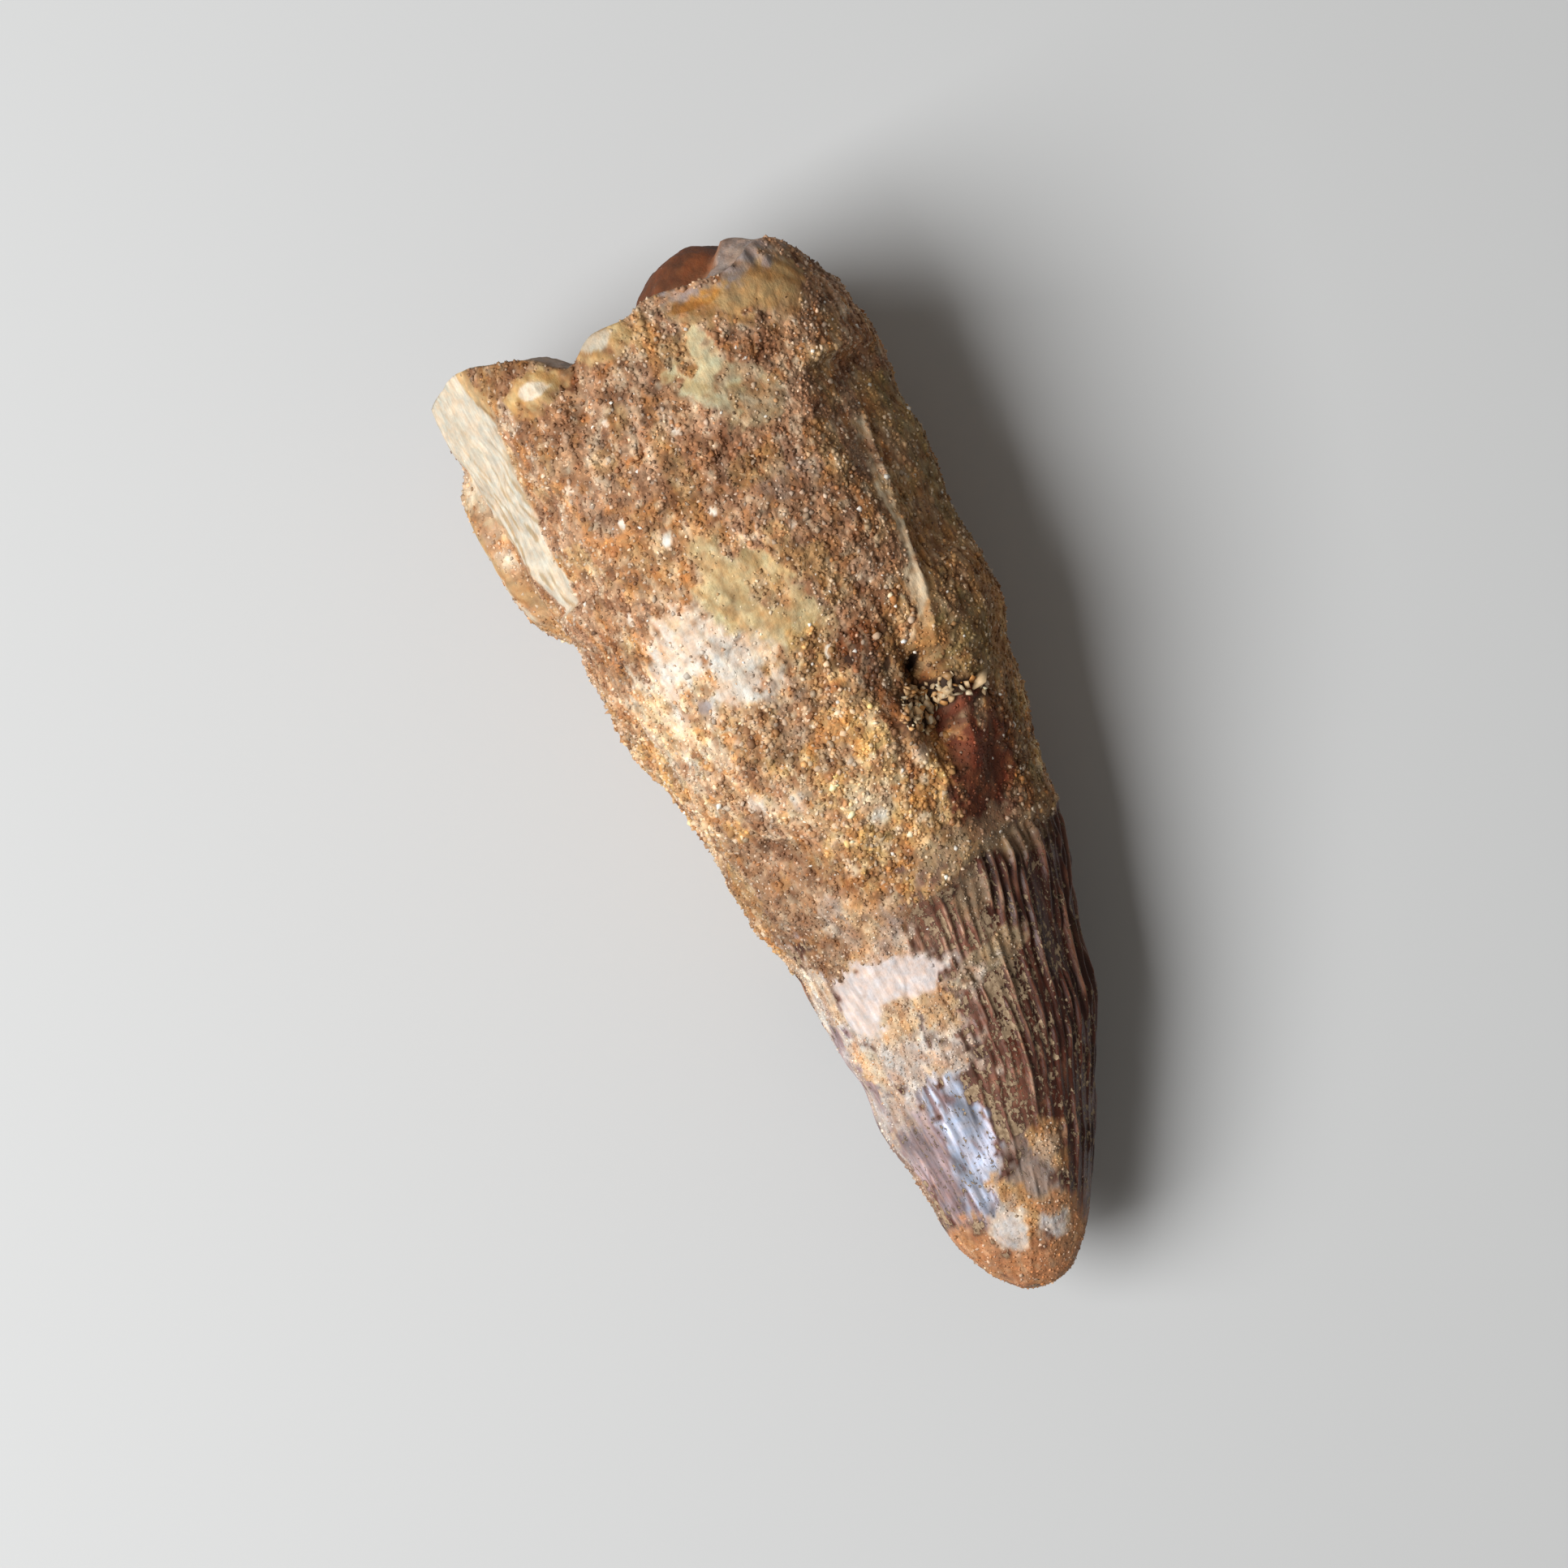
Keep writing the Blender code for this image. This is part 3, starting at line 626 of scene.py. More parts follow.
        ("crownGold", 67.8, 58.0, 1.1, 0.8, 0, 0.6),
        ("crownGold", 69.2, 96.0, 2.4, 0.8, -30, 0.85),
        ("crownGold", 70.4, 84.0, 1.1, 1.2, 0, 0.6),
        ("crownSand", 70.4, 103.0, 1.6, 0.9, 0, 0.8),
        ("tipOrange", 71.8, 90.0, 1.8, 3.4, 0, 0.9),
        ("crownGold", 70.8, 94.0, 1.4, 0.7, 0, 0.8),
        ("tipOrange", 74.3, 90.0, 2.0, 7.0, 0, 0.95),
        ("tipOrange", 71.8, 140.0, 2.4, 2.6, 0, 0.9),
        ("tipOrange", 72.2, 172.0, 2.6, 3.6, 0, 0.9),
        ("tipOrange", 72.4, 50.0, 1.6, 2.2, 0, 0.6),
        ("white", 72.1, 73.0, 0.9, 1.3, 0, 0.85),
        ("white", 71.2, 110.0, 1.4, 1.3, 0, 0.85),
        # A little painted reflection over the white spots of the tip.
        ("paintedSheenEnamel", 71.3, 110.0, 1.1, 1.0, 0, 0.3),
        ("paintedSheenEnamel", 72.1, 74.0, 0.8, 1.1, 0, 0.35),
        # The far side and the underside.
        ("greenTan", 14.0, -60.0, 3.6, 3.0, 20, 0.8),
        ("tan", 21.0, -110.0, 6.0, 5.0, 0, 0.6),
        ("white", 30.0, -64.0, 2.6, 3.0, 0, 0.8),
        ("paleSand", 27.0, -150.0, 4.0, 3.0, 0, 0.7),
        ("darkBrown", 33.0, -20.0, 3.0, 3.0, 30, 0.75),
        ("ochre", 7.6, -30.0, 2.4, 4.0, 0, 0.8),
        ("greenTan", 22.0, -165.0, 2.4, 2.0, 0, 0.7),
        ("darkRust", 36.0, -100.0, 4.0, 4.0, 0, 0.6),
        ("redEnamel", 42.5, -30.0, 3.0, 2.4, 0, 0.9),
        ("crownSand", 53.0, -55.0, 3.0, 3.0, 0, 0.6),
        ("grooveSand", 60.0, -15.0, 2.2, 2.6, 0, 0.7),
        ("crownSand", 58.0, -140.0, 3.4, 3.0, 0, 0.6),
        ("pinkWhite", 63.0, -95.0, 1.6, 1.3, 0, 0.6),
        ("mauveEnamel", 66.0, -130.0, 3.0, 2.4, 0, 0.7),
    ),

    # Stains of the cemented sand: colour as it looks, size, seed, swelling at which it starts and
    # is full, strength.
    "stains": (
        ((0.62, 0.42, 0.26), 1.3, 91, 0.05, 0.45, 0.45),
        ((0.70, 0.60, 0.52), 1.1, 92, 0.10, 0.45, 0.40),
        ((0.75, 0.60, 0.37), 2.0, 93, 0.05, 0.45, 0.50),
        ((0.68, 0.43, 0.20), 0.9, 97, 0.30, 0.55, 0.50),
        ((0.40, 0.25, 0.16), 0.75, 94, 0.20, 0.50, 0.40),
        ((0.90, 0.82, 0.70), 0.50, 95, 0.25, 0.55, 0.50),
        ((0.54, 0.34, 0.22), 0.45, 96, 0.15, 0.50, 0.35),
    ),
    "stainSqueeze": 0.85,
    "stainSpares": (0.78, 0.88, 0.55),  # lightness where it starts and is full, how much it spares
    "stainLightness": (0.2, 0.8),  # the stain's own part, and the part that follows the ground

    # Marks of smooth bone.
    "boneMottles": ((0.14, 1.0, 0.45, 99), (0.12, 1.0, 1.1, 100)),
    "bonePale": (0.6, 0.75),  # lightness where bone starts to be pale and is
    "boneDim": (0.55, 0.35),  # the same of dark bone
    "paleSpares": (0.5, 0.8),  # how much less pale bone is mottled, and how much less dashed
    "dimFibres": (0.24, 0.25, 0.4, 103),  # share, how x is squeezed, size, seed
    "dashFibres": (1.0, 0.3, 0.5, 98),
    "dashed": (0.15, 0.5),  # fibre height where a dash starts and is full
    "paleStrip": (4.0, 12.0, 22.0, 28.0),  # stretch of x where pale bone is dashed as well
    "dashTone": (0.13, 0.20, 0.30),  # how much red, green and blue a dash takes away
    "fibreSlant": 0.5,  # how far fibres go round with x
    "fibreLift": 0.1,  # and how little they change with height
}

# The cemented sand. Swellings are rows of share, how x is squeezed, size and seed.
cementForm = {
    "tops": ((0.62, 0.8, 1.35, 31), (0.38, 1.0, 0.7, 32)),
    "lines": ((1.0, 1.0, 2.3, 34), (0.35, 1.0, 0.9, 35)),
    "lineHalf": 0.16,  # how far from 0 a crevice reaches
    "places": ((1.0, 1.0, 4.0, 36),),
    "placed": (-0.1, 0.5),  # where they start and are full
    "grit": ((1.7, 1.0, 0.66, 37), (1.1, 1.0, 0.4, 38)),
    "topLight": 0.14,  # how much lighter tops are
    "gritLight": (0.22, 0.62),  # the same of grit, and its middle
    "creviceColour": (0.42, 0.24, 0.13),
    "creviceDarkening": 0.5,  # how far a crevice goes over to it, so that crevices are darker
}


# Lays one finish over the looks by a share that changes over the surface.
def layOver(look, name, share):
    return look + (np.array(finishes[name]) - look) * share[..., None]


# The looks of a surface that has one finish all over.
def plainLook(x, name):
    return np.ones(x.shape + (1,)) * finishes[name]


# How much of each place is sandy cement, and how much is smooth bone. The rest is enamel.
def cementAndBone(look):
    sandy, enamel = look[..., sandyColumn], look[..., enamelColumn]
    return sandy * (1 - enamel), (1 - sandy) * (1 - enamel)


# The cemented sand: broad clumps from -1 to 1, crevices from 0 to 1 where a swelling passes through
# 0 and only in some places, and grit from 0 to 1, rounded tops |swelling| with creases between.
def cement(side):
    x, y, z = side["x"], side["y"], side["z"]
    tops = swells(x, y, z, cementForm["tops"])
    line = np.abs(swells(x, y, z, cementForm["lines"]))
    where = ease(*cementForm["placed"], swells(x, y, z, cementForm["places"]))
    grit = swells(x, y, z, cementForm["grit"], creased=True)
    return tops, ease(cementForm["lineHalf"], 0.0, line) * where, np.minimum(grit, 1.0)


# Fibres of the bone: swellings drawn out along the tooth and read round it at a slant.
def fibres(side, share, squeeze, size, seed):
    slanted = np.radians(side["bearing"]) * side["radius"] + colouring["fibreSlant"] * side["x"]
    return share * swell(side["x"] * squeeze, slanted, side["z"] * colouring["fibreLift"], size, seed)


# The mottled ground, which goes from rust through gold to enamel along x.
def groundLook(side, ragged):
    x, y, z = side["x"], side["y"], side["z"]
    along = alongCrust(side)
    look = plainLook(x, "rust")
    for name, swelling, start, full, strength in colouring["rootMottles"]:
        share = strength * ease(start, full, swells(x, y, z, colouring[swelling]))
        look = layOver(look, name, share)
    start, full, stray = colouring["crust"]
    crusty = ease(start, full, along + stray * ragged)
    look = layOver(look, "gold", crusty)
    for name, swelling, start, full, strength in colouring["crustMottles"]:
        share = strength * crusty * ease(start, full, swells(x, y, z, colouring[swelling]))
        look = layOver(look, name, share)
    start, full, stray = colouring["crown"]
    return layOver(look, "enamel", ease(start, full, along + stray * ragged))


# Long bands between two bearings that are read along x, with ragged edges.
def layBands(side, look, ragged):
    x = side["x"]
    soft = colouring["softEdge"]
    for name, strength, course in colouring["bands"]:
        known = np.array(course, float)
        low = np.interp(x, known[:, 0], known[:, 1])
        high = np.interp(x, known[:, 0], known[:, 2])
        inside = arcBetween(side["bearing"], (low + high) / 2, side["radius"])
        half = np.radians(high - low) / 2 * side["radius"]
        edge = half - np.abs(inside) + colouring["bandRagged"] * ragged
        ends = within(known[0, 0] - 1, known[0, 0], known[-1, 0], known[-1, 0] + 1, x)
        look = layOver(look, name, strength * ends * ease(-soft, soft, edge))
    return look


# Patches: ellipses turned in their place, whose edge is where the ragged distance from their
# middle passes 1.
def layPatches(side, look, ragged):
    x = side["x"]
    for name, at, face, halfLength, halfWidth, turn, strength in colouring["patches"]:
        arc = arcBetween(side["bearing"], face, side["radius"])
        c, s = np.cos(radians(turn)), np.sin(radians(turn))
        d = np.hypot(((x - at) * c + arc * s) / halfLength, (arc * c - (x - at) * s) / halfWidth)
        stray = colouring["crispRagged"] if name in colouring["crisp"] else 1.0
        soft = colouring["softEdge"] * stray
        look = layOver(look, name, strength * ease(1 + soft, 1 - soft, d + stray * ragged))
    return look


# The colour with its stains: each is as light as the ground below it, less on pale ground, and only
# where that is sandy.
def stained(side, look):
    x, y, z = side["x"], side["y"], side["z"]
    colour = look[..., :3]
    lightness = colour.mean(axis=-1, keepdims=True)
    rough = cementAndBone(look)[0][..., None]
    start, full, spared = colouring["stainSpares"]
    spared = spared * ease(start, full, lightness)
    own, following = colouring["stainLightness"]
    plain = np.mean(finishes["rust"][:3])
    for tint, size, seed, start, full, strength in colouring["stains"]:
        swelling = swell(x * colouring["stainSqueeze"], y, z, size, seed)
        far = strength * ease(start, full, swelling)[..., None] * (1 - spared)
        tint = np.array(tint) * (own + following * lightness / plain)
        colour = colour + (tint - colour) * rough * far
    return colour


# Marks of smooth bone: it is mottled, more so along its fibres where it is dark, and has brown
# dashes along them, few where it is pale.
def boneMarks(side, look, colour):
    x, y, z = side["x"], side["y"], side["z"]
    smooth = cementAndBone(look)[1]
    lightness = look[..., :3].mean(axis=-1)
    pale = ease(*colouring["bonePale"], lightness)
    dim = ease(*colouring["boneDim"], lightness)
    lessMottled, lessDashed = colouring["paleSpares"]
    mottled = swells(x, y, z, colouring["boneMottles"]) * (1 - lessMottled * pale)
    mottled += dim * fibres(side, *colouring["dimFibres"])
    dashes = ease(*colouring["dashed"], fibres(side, *colouring["dashFibres"]))
    dashes = dashes * (1 - lessDashed * pale * (1 - within(*colouring["paleStrip"], x)))
    colour = colour * (1 + (smooth * mottled)[..., None])
    return colour * (1 - (smooth * dashes)[..., None] * np.array(colouring["dashTone"]))


# Marks of the cement: lighter tops and grit, and brown crevices.
def cementMarks(side, look, colour):
    rough = cementAndBone(look)[0][..., None]
    tops, crevices, grit = cement(side)
    gritLight, middle = cementForm["gritLight"]
    lighter = cementForm["topLight"] * tops + gritLight * (grit - middle)
    colour = colour * (1 + rough * lighter[..., None])
    brown = np.array(cementForm["creviceColour"])
    return colour + (brown - colour) * rough * cementForm["creviceDarkening"] * crevices[..., None]


# The looks of the side: the ground, then the bands and the patches, and last the marks.
def sideLook(side):
    ragged = swells(side["x"], side["y"], side["z"], colouring["ragged"])
    look = groundLook(side, ragged)
    look = layBands(side, look, ragged)
    look = layPatches(side, look, ragged)
    colour = boneMarks(side, look, stained(side, look))
    look[..., :3] = cementMarks(side, look, colour)
    return look


# The colours of the broken end. Shares of the ragged swelling say how uneven each edge is.
endColouring = {
    "tilt": 0.4,
    "ragged": ((0.6, 1.7, 71), (0.5, 0.7, 72)),  # share, size, seed, the first one read at a tilt
    "finishes": (  # finish, shares of y, z and ragged, where their sum starts and is full, strength
        ("ochre", 0.0, 0.0, 1.0, -0.4, 0.3, 1.0),
        ("greyBone", 0.0, 1.0, 4.0, 10.0, 18.0, 0.7),
        ("cream", 1.0, 0.0, 2.0, -6.0, -10.0, 0.85),
    ),
    "layerThickness": 0.9,
    "layerWaves": ((3.0, 1.0, 2.6, 73),),
    "spots": ((1.0, 1.0, 0.8, 74),),
    "spotted": (0.15, 0.5),  # swelling where a spot starts and is full
    "mottles": ((0.09, 1.0, 0.5, 75),),
    "layerLight": 0.07,
    "spotDark": 0.2,
    "rimBlend": (0.2, 0.9, 0.4),  # depth where it starts and is full, share of ragged
    "hollow": (0.75, 1.0, 0.6),  # the same, as shares of the wall's thickness
    "fillingRagged": 0.15,
    "fillingPaintedHighlight": (1.35, 0.95),  # square of the distance where the painted highlight on the filling's rim starts and is full
    "filling": (0.98, 0.72),
    "fillingMottled": (1.4, 1.1),
    "fillingMottles": ((0.14, 1.0, 0.9, 76), (0.10, 1.0, 0.45, 77)),
}


# The looks of the broken end: the bone wall in thin layers, cos(2 pi depth / step), the sand in the
# hollow and the filling with its paler edge, which is a painted highlight on its rounded rim.
def endLook(rings, depth, rimLook):
    x, y, z = np.moveaxis(rings, -1, 0)
    tilt = endColouring["tilt"]
    (broad, broadSize, broadSeed), (small, smallSize, smallSeed) = endColouring["ragged"]
    ragged = broad * swell(x, y + tilt * z, z - tilt * y, broadSize, broadSeed)
    ragged += small * swell(x, y, z, smallSize, smallSeed)
    look = plainLook(x, "fibrousTan")
    for name, shareY, shareZ, shareRagged, start, full, strength in endColouring["finishes"]:
        reached = shareY * y + shareZ * z + shareRagged * ragged
        look = layOver(look, name, strength * ease(start, full, reached))
    waves = swells(x, y, z, endColouring["layerWaves"])
    layers = np.cos(2 * np.pi * depth / endColouring["layerThickness"] + waves)
    spots = ease(*endColouring["spotted"], swells(x, y, z, endColouring["spots"]))
    lighter = endColouring["layerLight"] * layers + swells(x, y, z, endColouring["mottles"])
    look[..., :3] *= (1 + lighter - endColouring["spotDark"] * spots)[..., None]
    start, full, stray = endColouring["rimBlend"]
    look = rimLook + (look - rimLook) * ease(start, full, depth + stray * ragged)[..., None]
    wall = toothForm["wallThickness"]
    start, full, stray = endColouring["hollow"]
    look = layOver(look, "hollowSand", ease(start * wall, full * wall, depth + stray * ragged))
    fromFilling = fillingDistance(y, z) + endColouring["fillingRagged"] * ragged
    look = layOver(look, "fillingPaintedHighlight", ease(*endColouring["fillingPaintedHighlight"], fromFilling))
    look = layOver(look, "filling", ease(*endColouring["filling"], fromFilling))
    mottled = swells(x, y, z, endColouring["fillingMottles"])
    mottled = mottled * ease(*endColouring["fillingMottled"], fromFilling)
    look[..., :3] *= (1 + mottled)[..., None]
    return look


# What only the skin has. Swellings are rows of share, how x is squeezed, size and seed.
skinForms = {
    "pieces": (  # name, from x, to x, body rings, sides
        ("rootSkin", 0.0, 25.0, 122, 600),
        ("crustSkin", 25.0, 47.5, 150, 600),
        ("crownSkin", 47.5, 76.0, 84, 720),
    ),
    "rimSetBack": (90.0, 11.0, 0.9),  # bearing, half width in degrees, how far
    "tipRings": 40,
    "endRings": 38,
    "endBumps": ((0.10, 1.0, 0.9, 78),),
    "endPits": ((0.08, 1.0, 0.5, 79),),  # with creases
    "endPitsFrom": 0.8,  # depth inside the rim where they are full
    "join": 0.5,  # how far a skin goes on under the next one
    "joinDip": 0.4,  # and how steeply it dips there
    "clumps": (0.15, 0.14),  # height on the root, and more of it on the crust
    "clumpedCrust": (24.0, 33.0, 44.0, 48.0),
    "crevice": 0.24,
    "grit": (0.14, 0.6),  # height and middle
    "smoothRough": 0.25,  # how much of the cement's relief smooth patches have
    "enamelSmooth": 0.85,  # how much of it enamel goes without
    "coveredFlutes": 0.12,  # how much of the flutes shows where the enamel is covered
    "bareEnamel": 0.8,  # and the share of enamel from which all of it shows
    "sunk": 0.06,  # how far sandy skin lies below the solid, whose level its grains then reach
    "seam": (0.30, 0.24),  # height and half width of the thin ridge beside the facet
    "seamCourse": ((15.5, 36.0), (17.3, 38.5), (22.5, 47.0), (26.5, 51.0), (29.5, 53.5), (32.0, 55.0)),
    "fibres": (0.04, 0.15, 0.5, 33),  # height, how x is squeezed, size, seed
    "forms": (  # small lumps and pits: x, bearing, half length, half width, height, crispness
        (32.6, 59.8, 0.5, 0.5, -0.9, 2),
        (34.2, 70.5, 2.6, 0.45, -0.6, 1),
        (36.6, 76.5, 1.8, 0.45, -0.6, 1),
        (39.8, 58.5, 2.0, 1.7, 1.0, 1),
        (42.0, 174.0, 5.5, 6.0, -0.6, 1),
        (36.2, 68.0, 1.5, 2.2, 0.8, 1),
        (36.8, 61.5, 2.4, 1.5, 0.5, 1),
        (56.8, 178.0, 2.2, 3.0, 0.35, 1),
        (64.0, 177.0, 4.5, 3.5, 0.5, 1),
        (2.9, 68.0, 1.1, 0.35, 0.4, 1),
        (2.8, 63.5, 1.0, 0.35, 0.45, 1),
        (2.9, 59.0, 1.1, 0.35, 0.4, 1),
        (3.1, 54.0, 1.0, 0.4, 0.45, 1),
        (3.5, 49.5, 1.0, 0.35, 0.35, 1),
        (31.0, 64.0, 1.6, 0.5, -0.4, 1),
        (35.2, 57.5, 0.8, 0.7, -0.5, 1),
        (37.4, 61.0, 0.7, 0.6, -0.5, 1),
        (39.6, 132.5, 0.7, 0.9, -0.4, 1),
        (6.4, 124.5, 1.3, 0.35, -0.3, 1),
        (29.1, 124.5, 0.5, 0.5, -0.25, 1),
        (51.3, 108.0, 0.9, 3.0, -0.12, 2),
        (60.0, 151.0, 1.6, 0.9, -0.2, 1),
        (68.4, 84.0, 1.8, 1.6, -0.15, 2),
    ),
}

# The crests on the flutes.
crestForm = {
    "wander": ((1.3, 0.2, 3.0, 51), (0.4, 0.5, 1.3, 54)),  # in radians of a flute's wave
    "uneven": ((0.6, 0.2, 1.6, 52), (0.4, 0.6, 0.9, 53)),
    "middle": 0.8,  # what the uneven height varies about
    "breaks": ((1.0, 0.22, 1.0, 55),),
    "broken": (-0.45, 0.05),  # swelling where a crest is broken and where it is whole
    "brokenHeight": 0.35,
    "sharpness": 4,
    "thinSharpness": 5,  # of the thinner crests between
    "thinHeight": (0.9, 1.5),  # their share, and the sum of their unevenness and the main ones'
    "thinEnd": (68.0, 52.0),  # x where they have died out, and where they start to
    "highest": 1.2,
    "height": 3.4,
    "fainter": (  # where the flutes are worn: x, bearing, half length, half width, share
        (60.0, 157.0, 17.0, 6.0, 0.75),
        (69.0, 88.0, 3.5, 4.5, 0.5),
        (62.0, -120.0, 8.0, 6.0, 0.5),
    ),
    "fainterCrispness": 2,
}


# Flutes of the skin: narrow crests ((1 + cos) / 2)^4 where the solid's waves are, and a thinner one
# between each two that dies out towards the tip. They wander, break off and are of uneven height.
def skinFlutes(side):
    x, y, z = side["x"], side["y"], side["z"]
    turn = np.radians(side["bearing"]) * toothForm["fluteCount"]
    wave = np.cos(turn + swells(x, y, z, crestForm["wander"]))
    uneven = crestForm["middle"] + swells(x, y, z, crestForm["uneven"])
    whole = ease(*crestForm["broken"], swells(x, y, z, crestForm["breaks"]))
    main = (0.5 + 0.5 * wave) ** crestForm["sharpness"]
    main = main * uneven * atLeast(crestForm["brokenHeight"], whole)
    thinShare, sumOfHeights = crestForm["thinHeight"]
    thin = (0.5 - 0.5 * wave) ** crestForm["thinSharpness"] * ease(*crestForm["thinEnd"], x)
    thin = thin * (sumOfHeights - uneven) * whole
    crest = np.clip(np.maximum(main, thinShare * thin), 0.0, crestForm["highest"])
    height = (crestForm["height"] * crest - 1.0) * toothForm["fluteShare"] * side["radius"]
    bare = fluteBareness(side)
    for at, face, halfLength, halfWidth, share in crestForm["fainter"]:
        form = bump(side, at, face, halfLength, halfWidth, crestForm["fainterCrispness"])
        bare = bare * (1 - share * form)
    return height * bare, crest * bare


# The thin ridge beside the facet, e^-(d^2) across it.
def seamRidge(side):
    x = side["x"]
    known = np.array(skinForms["seamCourse"])
    height, half = skinForms["seam"]
    off = arcBetween(side["bearing"], np.interp(x, known[:, 0], known[:, 1]), side["radius"])
    first, last = known[0, 0], known[-1, 0]
    return height * within(first - 1, first + 1, last - 1, last + 1, x) * np.exp(-((off / half) ** 2))


# Relief of the skin: the solid's own, the flutes, the cement where it is sandy, fibres along the
# bare bone, the thin seam ridge and the small forms.
def skinRelief(side, look, flutes):
    sandy, enamel = look[..., sandyColumn], look[..., enamelColumn]
    tops, crevices, grit = cement(side)
    onRoot, onCrust = skinForms["clumps"]
    clumps = onRoot + onCrust * within(*skinForms["clumpedCrust"], side["x"])
    rough = atLeast(skinForms["smoothRough"], sandy) * (1 - skinForms["enamelSmooth"] * enamel)
    gritHeight, gritMiddle = skinForms["grit"]
    relief = solidRelief(side) + rough * (clumps * tops)
    relief += rough * (gritHeight * (grit - gritMiddle) - skinForms["crevice"] * crevices)
    shown = atLeast(skinForms["coveredFlutes"], ease(0.0, skinForms["bareEnamel"], enamel))
    relief += flutes * shown - skinForms["sunk"] * sandy
    relief += cementAndBone(look)[1] * fibres(side, *skinForms["fibres"])
    relief += seamRidge(side)
    for at, face, halfLength, halfWidth, height, crispness in skinForms["forms"]:
        relief += height * bump(side, at, face, halfLength, halfWidth, crispness)
    return relief


# Colours as they look become the shader's own: ((c + 0.055) / 1.055)^2.4.
def toLight(colour):
    colour = np.clip(np.asarray(colour, float), 0.0, 1.0)
    return np.where(colour > 0.04045, ((colour + 0.055) / 1.055) ** 2.4, colour / 12.92)


# Puts arrays of points and of triangle corners into a new object.
def putMesh(name, points, corners):
    mesh = bpy.data.meshes.new(name)
    mesh.vertices.add(len(points))
    mesh.vertices.foreach_set("co", np.ascontiguousarray(points, np.float32).ravel())
    mesh.loops.add(corners.size)
    mesh.loops.foreach_set("vertex_index", corners.astype(np.int32).ravel())
    mesh.polygons.add(len(corners))
    mesh.polygons.foreach_set("loop_start", np.arange(len(corners), dtype=np.int32) * 3)
    mesh.update(calc_edges=True)
    piece = bpy.data.objects.new(name, mesh)
    bpy.context.scene.collection.objects.link(piece)
    return piece


# Keeps a colour for every point of a mesh.
def keepColour(piece, name, colours):
    colours = np.concatenate([colours, np.ones((len(colours), 1))], axis=1)
    made = piece.data.attributes.new(name, "FLOAT_COLOR", "POINT")
    made.data.foreach_set("color", colours.astype(np.float32).ravel())


# Keeps a number for every point of a mesh.
def keepNumber(piece, name, numbers):
    made = piece.data.attributes.new(name, "FLOAT", "POINT")
    made.data.foreach_set("value", numbers.astype(np.float32).ravel())


# Lays out a flat map of a mesh, one pair of numbers for each corner of each face.
def keepMap(piece, places):
    made = piece.data.uv_layers.new(name="OFBake")
    made.data.foreach_set("uv", places.astype(np.float32).ravel())


# The broken end of the root's skin, from its rim in to its middle, with small bumps and pits.
def skinEnd(rim, rimLook):
    rings, depth = endRings(rim, skinForms["endRings"])
    look = endLook(rings, depth, rimLook)
    x, y, z = np.moveaxis(rings, -1, 0)
    pitted = swells(x, y, z, skinForms["endBumps"])
    pitted += swells(x, y, z, skinForms["endPits"], creased=True)
    rings[..., 0] += pitted * ease(0.0, skinForms["endPitsFrom"], depth)
    return rings, look


# One skin as rings by sides: points, looks and how near each point is to a crest. The root's starts
# in the middle of the broken end. Past its own stretch a skin dips, and it is flat where it rests.
def skinGrid(start, end, bodyRings, sides, shift):
    places = ringPlaces(start, end, bodyRings, skinForms["tipRings"])
    side = sideGrid(places, sides, skinForms["rimSetBack"])
    look = sideLook(side)
    flutes, crest = skinFlutes(side)
    past = np.maximum(np.maximum(start - places, places - end), 0.0)
    dip = skinForms["joinDip"] * past[:, None]
    points = raised(side, skinRelief(side, look, flutes) - dip)
    if start == 0:
        rings, endLooks = skinEnd(points[0], look[0])
        points = np.concatenate([rings[::-1], points])
        look = np.concatenate([endLooks[::-1], look])
        crest = np.concatenate([np.zeros(rings.shape[:2]), crest])
        dip = np.concatenate([np.zeros((len(rings), 1)), dip])
    points = points - shift
    points[..., 2] = np.maximum(points[..., 2], dip)
    return points, look, crest


# The enamel's own colours and its dust, with painted light towards the lamp. Swellings are rows of
# share, how x is squeezed, size and seed.
enamelForm = {
    "bright": (0.40, 0.62),  # lightness where enamel starts to be bright and is
    "streaks": ((0.5, 0.2, 0.42, 83), (0.5, 0.35, 1.2, 84)),
    "streaked": (0.34, 0.2),  # how much lighter and darker, and more of it where it is bright
    "wornPlaces": ((1.0, 0.25, 0.8, 81),),
    "worn": (-0.35, 0.3),  # swelling where they start and are full
    "wornShare": (0.15, 0.75),  # share on every crest, and more of it in worn places
    "wornCrest": (0.35, 0.9),  # crest height where it starts to be worn and is
    "wornColour": (0.80, 0.63, 0.51),
    "brightSpares": 0.7,  # how much less worn bright enamel is
    # Thin lines: swellings, how near 0 they start and are full, places, where those start and are
    # full, strength.
    "paleLines": (((1.0, 0.14, 0.9, 85),), (0.16, 0.03), ((1.0, 0.4, 1.0, 86),), (-0.25, 0.25), 0.6),
    "darkLines": (((1.0, 0.11, 0.7, 87),), (0.20, 0.04), ((1.0, 0.4, 1.1, 88),), (-0.3, 0.2), 0.8),
    "lineColour": (0.46, 0.34, 0.33),  # of the dark lines on bright enamel
    "lit": 0.45,  # least share of pale wear, pale lines and dust away from the upper left; more of them towards the lamp is painted light
    "upperLeft": (0.9, 11.0, -1.0, 4.0),  # share of y, middle of z, where it starts and is full
    "dustGroove": (0.3, 0.5, 0.05),  # least share, crest height where it starts and is full
    "dustPlaces": ((1.0, 0.4, 1.3, 82),),
    "dusted": (0.3, -0.4, 0.4),  # least share, swelling where it starts and is full
    "dustDark": (0.50, 0.30),  # lightness where it starts and is full
    "dustHighUp": (0.25, 5.0, 9.5),  # least share, height where it starts and is full
}


